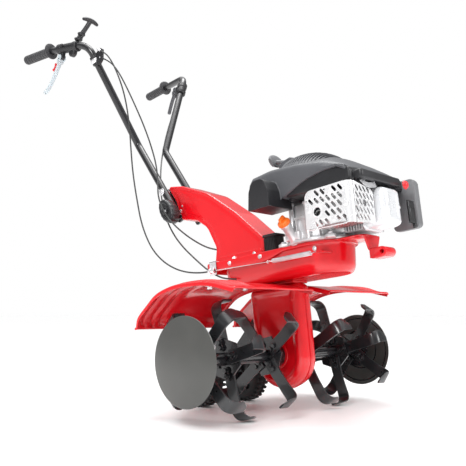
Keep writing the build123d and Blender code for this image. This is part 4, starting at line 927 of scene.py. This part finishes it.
# ---- engine: air filter and primer ----
FILTER_FRONT, PRIMER = 410.0, (58.6, 411.0)
airbox = Mesh()
box_corners = rectangle((338, FILTER_FRONT), (304, 436))
base_section = [(6, 62), (1.5, 62.6), (0, 65), (0, 101), (3, 101.8), (3, 105), (0, 106), (0, 107.6),
                (5, 108)]
airbox.loft([spread(shrunk(box_corners, [12] * 4, d), y, "y") for d, y in base_section])
airbox.box((388, FILTER_FRONT), (40, 68), (384, 430), 3, 5)
airbox.box((404, FILTER_FRONT - 0.3), (66, 100), (312, 372), 2.5, 4)
airbox.box((407, FILTER_FRONT + 0.6), (72, 94), (322, 352), 1.5, 3)
airbox.tube([(404, 96, 300.5), (404, 96, 318)], 4)
pocket = Mesh().turned((FILTER_FRONT - 8, *PRIMER), (1, 0, 0), [(1, 0), (12.4, 0), (12.4, 12), (1, 12)], 36)
cutter = piece("primer_pocket", pocket, "black_plastic", None)
piece("air_box", airbox, "black_plastic", "chassis", "filter_box", cutter=cutter)
lid = Mesh()
lid_corners = rectangle((336, FILTER_FRONT + 2), (302, 438))
lid_section = [(2, 108.3), (0, 109.5), (0, 121), (1.2, 130), (4, 138), (9, 143.6), (15, 145.6), (24, 145.9),
               (27, 144.6), (33, 144.4)]
lid.loft([spread(shrunk(lid_corners, [14] * 4, d), y, "y") for d, y in lid_section])
for z in (330, 350, 370, 390, 410):
    lid.box((356, 392), (143.2, 145.6), (z - 3, z + 3), 1, 2)
piece("air_box_lid", lid, "grey_plastic", "chassis", "filter_cover", angle=50)
button = [(3, 0), (12, 0), (12, 1.6), (11, 3), (10.2, 5), (8.4, 7.4), (5, 8.8), (1, 9.2)]
bulb = Mesh().turned((FILTER_FRONT + 0.4, *PRIMER), (1, 0, 0), button, 28)
piece("primer_bulb", bulb, "red_plastic", "primer", "primer_button")

bolts = Mesh()
for angle in range(45, 405, 90):
    turn = math.radians(angle)
    bolts.bolt((CRANK_X + 112 * math.cos(turn), 112 * math.sin(turn), 297.2), (0, 0, 1), 13, 5)
for y in (-50, 18):
    for z in (303, 391):
        bolts.bolt((352.6, y, z), (1, 0, 0), 9, 4)
piece("engine_fixings", bolts, "zinc", "chassis", "engine_bolts")

# ---- wheels ----
TREADS = 30
wheel_axle = TO_ROW.inverted() @ middle_of("wheel_left")
for side, sign in (("right", -1), ("left", 1)):
    place = aim((wheel_axle.x, 0, wheel_axle.z), (0, sign, 0))
    tyre = Mesh().at(place)
    tyre.lathe([(50, 75), (62, 73.4), (70, 75), (74, 79), (75.5, 88), (76, 96), (75.5, 104), (74, 113),
                (70, 117), (62, 118.6), (50, 117)], 60)
    for k in range(TREADS):
        for low, high, shift in ((75, 93, 0.0), (99, 117, 0.5)):
            tyre.at(place @ Matrix.Rotation(2 * math.pi * (k + shift) / TREADS, 4, "Z"))
            tyre.box((73, 79.8), (-4.6, 4.6), (low, high), 1.2, 1.8)
    piece("tyre_" + side, tyre, "wheel_rubber", side + "_wheel", "wheel_" + side)
    hub = Mesh().at(place)
    hub.lathe([(6.3, 74), (14, 74), (15, 76), (15, 88), (20, 90), (48, 90), (50, 84), (52, 76), (53, 76),
               (53, 116), (52, 116), (50, 108), (48, 102), (20, 102), (15, 104), (15, 116), (14, 118),
               (6.3, 118)], 48)
    for k in range(6):
        hub.at(place @ Matrix.Rotation(math.pi * k / 3, 4, "Z")).box((13, 51), (-2.2, 2.2), (79, 113), 1)
    piece("wheel_hub_" + side, hub, "black_plastic", side + "_wheel", "wheel_" + side, slot="wheel_rubber")

# ---- handlebar ----
# Places on the left tube, from the pivot up to the end of the grip.
PIVOT, KINK = (-407.0, 569.0), (-535.0, 62.0, 771.0)
BEND, GRIP_INNER, GRIP_END = (-583.0, 230.0, 1132.0), (-751.0, 273.0, 1159.8), (-889.0, 294.0, 1171.4)
down = (Vector((PIVOT[0], 0, PIVOT[1])) - Vector((KINK[0], 0, KINK[2]))).normalized()
CLAMP = Vector((PIVOT[0], 0, PIVOT[1])) + down * 96


def mirror(point, sign):
    return Vector((point[0], point[1] * sign, point[2]))


GRIP_PITCH = 13.0
grips = Mesh()
for sign in (1, -1):
    inner, end = mirror(GRIP_INNER, sign), mirror(GRIP_END, sign)
    length = (end - inner).length
    profile = [(13, 0), (26, 0), (28.6, 1.4), (29, 3.4), (27, 5.4), (19, 6.6), (17, 9)]
    x = 14.0
    while x < length - 16:
        profile += [(16.6, x), (17, x + 1.2), (17, x + 6.6), (16.2, x + 8), (14.0, x + 9), (14.0, x + 11),
                    (16.2, x + 12)]
        x += GRIP_PITCH
    profile += [(17, length - 8), (17, length - 2), (15.5, length + 2), (11, length + 4), (2, length + 4)]
    grips.turned(inner, end - inner, profile, 32)
piece("rubber_grips", grips, "grip_rubber", "handlebar", "hand_grips", angle=50)


def along(distance, sign):
    """A place on the top tube, from the grip towards the bend."""
    start, stop = Vector(GRIP_INNER), Vector(BEND)
    return mirror(start + (stop - start).normalized() * distance, sign)


def down_upright(distance):
    """A place on the left upright, below the bend."""
    start, stop = Vector(BEND), Vector(KINK)
    return start + (stop - start).normalized() * distance


# The squeeze levers' pins: -1 is the right one, 1 the left one.
PINS = {-1: along(50, -1) - Vector((0, 0, 33)), 1: down_upright(58) - Vector((33, 0, 0))}
mounts = Mesh()
for first, last in ((along(38, -1), along(130, -1)), (down_upright(44), down_upright(96))):
    length = (last - first).length
    clamp = [(12.7, 0), (17.5, 0), (19, 1.5), (19, 18), (17, 20), (17, length - 18), (19, length - 16),
             (19, length - 2), (17.5, length), (12.7, length)]
    mounts.turned(first, last - first, clamp, 32)
pin = PINS[-1]
mounts.slab(rounded([(pin.x - 9, pin.z - 8), (pin.x + 10, pin.z - 8), (pin.x + 18, pin.z + 24),
                     (pin.x - 12, pin.z + 24)], [8, 8, 6, 6]), pin.y - 7, pin.y + 7, "y", 1.5)
mounts.bolt((pin.x + 24, pin.y - 14, pin.z + 34), (0, -1, 0), 8, 4)
pin = PINS[1]
mounts.slab(rounded([(pin.x - 8, pin.z - 8), (pin.x + 20, pin.z - 10), (pin.x + 20, pin.z + 12),
                     (pin.x - 8, pin.z + 8)], [7, 3, 3, 7]), pin.y - 7, pin.y + 7, "y", 1.5)
mounts.box((-604, -586), (190, 203), (1040, 1056), 2)
mounts.bolt((-577, 190, 1082), (0, -1, 0), 9, 4)
lower, upper = mirror(KINK, -1), mirror(BEND, -1)
rise = (upper - lower).normalized()
ring_place = lower + rise * ((upper - lower).length * 0.84)
ring_profile = [(12.7, 0), (16, 0), (17, 1), (17, 29), (16, 30), (12.7, 30)]
mounts.turned(ring_place - rise * 15, rise, ring_profile, 28)
wing = rounded([(-574, 1058), (-574, 1088), (-538, 1106), (-520, 1094), (-524, 1056), (-540, 1044)],
               [4, 4, 8, 6, 6, 6])
mounts.slab(wing, ring_place.y - 9, ring_place.y - 3, "y", 1.2)
round_housing = [(1, 0), (15, 0), (17, 2), (17, 14), (15, 16.5), (10, 17), (9, 15.6), (1, 15.6)]
mounts.turned(along(104, -1) + Vector((0, 9, -20)), (0, -1, 0), round_housing, 32)
piece("control_housings", mounts, "black_plastic", "handlebar", "lever_mounts")
stops = Mesh()
adjuster = [(2.6, 0), (4.4, 0), (4.5, 3), (3.4, 3.4), (3.4, 8), (4.5, 8.4), (4.5, 13), (3, 16), (2.6, 16)]
for name in CABLES:
    first, second = (Vector(p) * 1000 for p in CABLES[name][1][:2])
    ahead = (second - first).normalized()
    stops.turned(first - ahead * 16, ahead, adjuster, 16)
band = [(13.2, 0), (17.6, 0), (18.2, 1), (18.2, 13), (17.6, 14), (13.2, 14)]
stops.turned(ring_place - rise * 9, rise, band, 32)
piece("cable_adjusters", stops, "zinc", "handlebar", "lever_mounts")

LEVER_ROUTE = {-1: [(-2, 0, -2), (-14, 0, -14), (-42, 4, -54), (-62, 8, -80), (-78, 12, -98),
                    (-94, 16, -108)],
               1: [(-2, 0, -2), (-14, 0, -14), (-30, 0, -38), (-44, -1, -66), (-50, -3, -84)]}
LEVER_SECTION = [(3.6, -6.2), (4.4, -5), (4.4, 5), (3.6, 6.2), (-3.6, 6.2), (-4.4, 5), (-4.4, -5),
                 (-3.6, -6.2)]
PIVOT_EAR = [(2, 0), (9, 0), (9.5, 1), (9.5, 3), (9, 4), (2, 4)]
for side, sign, finish in (("right", -1, "lever_plastic"), ("left", 1, "dark_plastic")):
    pin = PINS[sign]
    lever = Mesh()
    route = curve_through([(pin.x + x, pin.y + sign * y, pin.z + z) for x, y, z in LEVER_ROUTE[sign]], 5)
    widths = [1.0 + 0.5 * (1 - blend_in(0, 0.35, k / len(route))) for k in range(len(route))]
    sections = [[(u * (1 if w < 1.3 else 1.1), v * w) for u, v in LEVER_SECTION] for w in widths]
    lever.strip(route, sections, side=(0.7, 0, -0.7))
    lever.tube([route[-2], route[-1], route[-1] + (route[-1] - route[-2]) * 0.8], [5, 7, 4], 12)
    for step in (10, -10):
        near = pin.y + step - 2
        lever.turned((pin.x, near, pin.z), (0, 1, 0), PIVOT_EAR, 24)
        lever.box((pin.x - 16, pin.x + 2), (near, pin.y + step + 2), (pin.z - 14, pin.z - 3), 1)
    lever.box((pin.x - 18, pin.x - 9), (pin.y - 12, pin.y + 12), (pin.z - 18, pin.z - 10), 2)
    body, node = ("right_lever", "clutch_lever") if sign < 0 else ("left_lever", "reverse_lever")
    piece("squeeze_lever_" + side, lever, finish, body, node, angle=50)
pin = PINS[-1]
catch = Mesh()
catch.at(Matrix.Translation((pin.x - 40, pin.y - 2.5, pin.z - 25)) @ Matrix.Rotation(-math.pi / 4, 4, "Y"))
catch.box((-12, 10), (-5, 5), (-3.5, 3.5), 1.5, 3)
catch.box((-14, -6), (-7, 7), (-5, 5), 2, 3)
hinge = [(1, 0), (4.6, 0), (5, 1), (5, 11), (4.6, 12), (1, 12)]
catch.turned((pin.x - 31.5, pin.y - 8.5, pin.z - 16.5), (0, 1, 0), hinge, 20)
piece("red_catch", catch, "red_plastic", "catch", "safety_lock")

foot_point, top_point = along(112, -1), Vector((-588, -211, 1231))
rise = (top_point - foot_point).normalized()
stem = curve_through([foot_point + rise * 29, foot_point + rise * 55 + Vector((-4, 0, 0)),
                      top_point - rise * 24, top_point])
palm = Mesh().tube(stem, [10.5 - 2.5 * blend_in(0, 0.6, k / (len(stem) - 1)) for k in range(len(stem))], 16)
palm_bar = curve_through([(-589, -243, 1229), (-588, -228, 1232), (-588, -211, 1232.5), (-588, -194, 1229),
                          (-589, -180, 1223)])
palm.tube(palm_bar, [3.5] + [5 + 3.4 * math.sin(math.pi * k / 24) for k in range(1, 24)] + [3.5], 16)
for share, size in ((0.22, 15), (0.42, 12)):
    lump = foot_point.lerp(top_point, share)
    palm.box((lump.x - 4, lump.x + size), (lump.y - 11, lump.y + 11), (lump.z - 2, lump.z + 10), 2.5)
    palm.bolt((lump.x + 4, lump.y - 11, lump.z + 4), (0, -1, 0), 7, 3)
palm.box((foot_point.x + 8, foot_point.x + 30), (foot_point.y + 4, foot_point.y + 18),
         (foot_point.z + 20, foot_point.z + 30), 3)
piece("palm_control", palm, "black_plastic", "palm_control", "palm_lever", angle=50)

# ---- pivot bolt, clamp bolt and knob ----
axis_bolts = Mesh()
for sign in (1, -1):
    axis_bolts.bolt((PIVOT[0], sign * 74.6, PIVOT[1]), (0, sign, 0), 14, 6)
axis_bolts.bolt((CLAMP.x, 74.6, CLAMP.z), (0, 1, 0), 14, 6)
for point in ((PIVOT[0], PIVOT[1]), (CLAMP.x, CLAMP.z)):
    for low in (47.2, -49.4):
        axis_bolts.turned((point[0], low, point[1]), (0, 1, 0), [(4, 0), (9, 0), (9, 2.2), (4, 2.2)], 24)
for x, y, z, long in ((PIVOT[0], -75, PIVOT[1], 150), (CLAMP.x, -110, CLAMP.z, 185)):
    axis_bolts.turned((x, y, z), (0, 1, 0), [(1, 0), (4, 0), (4, long), (1, long)], 16)
piece("pivot_bolts", axis_bolts, "zinc", "handlebar", "handle_bolts")

KNOB_LONG, KNOB_WIDE, KNOB_LOBES = 47.0, 29.0, 16
# How far each ring is drawn in, its height, and how deep its scallops are.
KNOB_RINGS = [(4, 0, 1), (1, 1.5, 1), (0, 4, 1), (0, 26, 1), (1.5, 31, 1), (5, 34, 0.7), (10, 35.4, 0.2),
              (15, 34.2, 0), (17, 31.6, 0), (21, 31.4, 0)]


def knob_ring(draw, height, lobes):
    """The knob's scalloped oval, drawn in, at a height."""
    ring = []
    for t in turns(96):
        scallop = 1 - lobes * 0.045 * (0.5 - 0.5 * math.cos(KNOB_LOBES * t)) ** 0.6
        u, v = (KNOB_LONG - draw) * scallop * math.cos(t), (KNOB_WIDE - draw) * scallop * math.sin(t)
        ring.append((u, v, height))
    return ring


tilt = math.atan2(down.z, down.x)
knob = Mesh().at(aim((CLAMP.x, -76, CLAMP.z), (0, -1, 0), (math.cos(tilt), 0, math.sin(tilt))))
knob.loft([knob_ring(*ring) for ring in KNOB_RINGS])
knob.lathe([(13, 31), (13, 36.4), (11.5, 37.6), (8.4, 37.6), (7.4, 36), (7.4, 31.5), (1, 31.5)], 32)
piece("clamp_nut", knob, "black_plastic", "knob", "clamp_knob", angle=42)

# ---- floor and light ----
floor_data = bpy.data.meshes.new("floor")
floor_data.from_pydata([(-40, -40, 0), (40, -40, 0), (40, 40, 0), (-40, 40, 0)], [], [(0, 1, 2, 3)])
floor = bpy.data.objects.new("floor", floor_data)
bpy.context.collection.objects.link(floor)
floor_finish = bpy.data.materials.new("floor_finish")
floor_finish.use_nodes = True
floor_shader = floor_finish.node_tree.nodes["Principled BSDF"]
floor_shader.inputs["Base Color"].default_value = (0.985, 0.985, 0.985, 1)
floor_shader.inputs["Roughness"].default_value = 0.35
floor_data.materials.append(floor_finish)

world = bpy.data.worlds.new("studio")
bpy.context.scene.world = world
world.use_nodes = True
tree = world.node_tree
studio_light = tree.nodes["Background"]
backdrop = tree.nodes.new("ShaderNodeBackground")
backdrop.inputs["Color"].default_value = (1, 1, 1, 1)
direction = tree.nodes.new("ShaderNodeTexCoord")
height = tree.nodes.new("ShaderNodeSeparateXYZ")
sky = tree.nodes.new("ShaderNodeValToRGB")
sky.color_ramp.elements[0].position, sky.color_ramp.elements[0].color = 0.0, (0.62, 0.62, 0.62, 1)
sky.color_ramp.elements[1].position, sky.color_ramp.elements[1].color = 1.0, (1, 1, 1, 1)
for spot, level in ((0.28, 0.34), (0.52, 0.24), (0.66, 0.92)):
    stop = sky.color_ramp.elements.new(spot)
    stop.color = (level, level, level, 1)
rays = tree.nodes.new("ShaderNodeLightPath")
even = tree.nodes.new("ShaderNodeMix")
even.data_type = "RGBA"
even.inputs["A"].default_value = (0.82, 0.82, 0.82, 1)
chosen = tree.nodes.new("ShaderNodeMixShader")
tree.links.new(direction.outputs["Generated"], height.inputs["Vector"])
tree.links.new(height.outputs["Z"], sky.inputs["Fac"])
tree.links.new(rays.outputs["Is Glossy Ray"], even.inputs["Factor"])
tree.links.new(sky.outputs["Color"], even.inputs["B"])
tree.links.new(even.outputs["Result"], studio_light.inputs["Color"])
tree.links.new(rays.outputs["Is Camera Ray"], chosen.inputs["Fac"])
tree.links.new(studio_light.outputs["Background"], chosen.inputs[1])
tree.links.new(backdrop.outputs["Background"], chosen.inputs[2])
tree.links.new(chosen.outputs["Shader"], tree.nodes["World Output"].inputs["Surface"])


def lamp(name, spot, target, size, power):
    light = bpy.data.lights.new(name, "AREA")
    light.shape, light.size, light.energy = "DISK", size, power
    item = bpy.data.objects.new(name, light)
    item.location = spot
    item.rotation_euler = (Vector(target) - Vector(spot)).to_track_quat("-Z", "Y").to_euler()
    bpy.context.collection.objects.link(item)


lamp("key", (1.3, -2.6, 2.2), (0.3, 0, 0.4), 1.0, 46)
lamp("side", (2.9, 0.9, 1.7), (0.3, 0, 0.5), 0.9, 26)
lamp("top", (-0.3, 0.2, 3.2), (0.3, 0, 0.4), 1.6, 40)
sun = bpy.data.lights.new("daylight", "SUN")
sun.energy, sun.angle = 1.6, math.radians(70)
sun_item = bpy.data.objects.new("daylight", sun)
sun_item.rotation_euler = (math.radians(12), math.radians(8), 0)
bpy.context.collection.objects.link(sun_item)
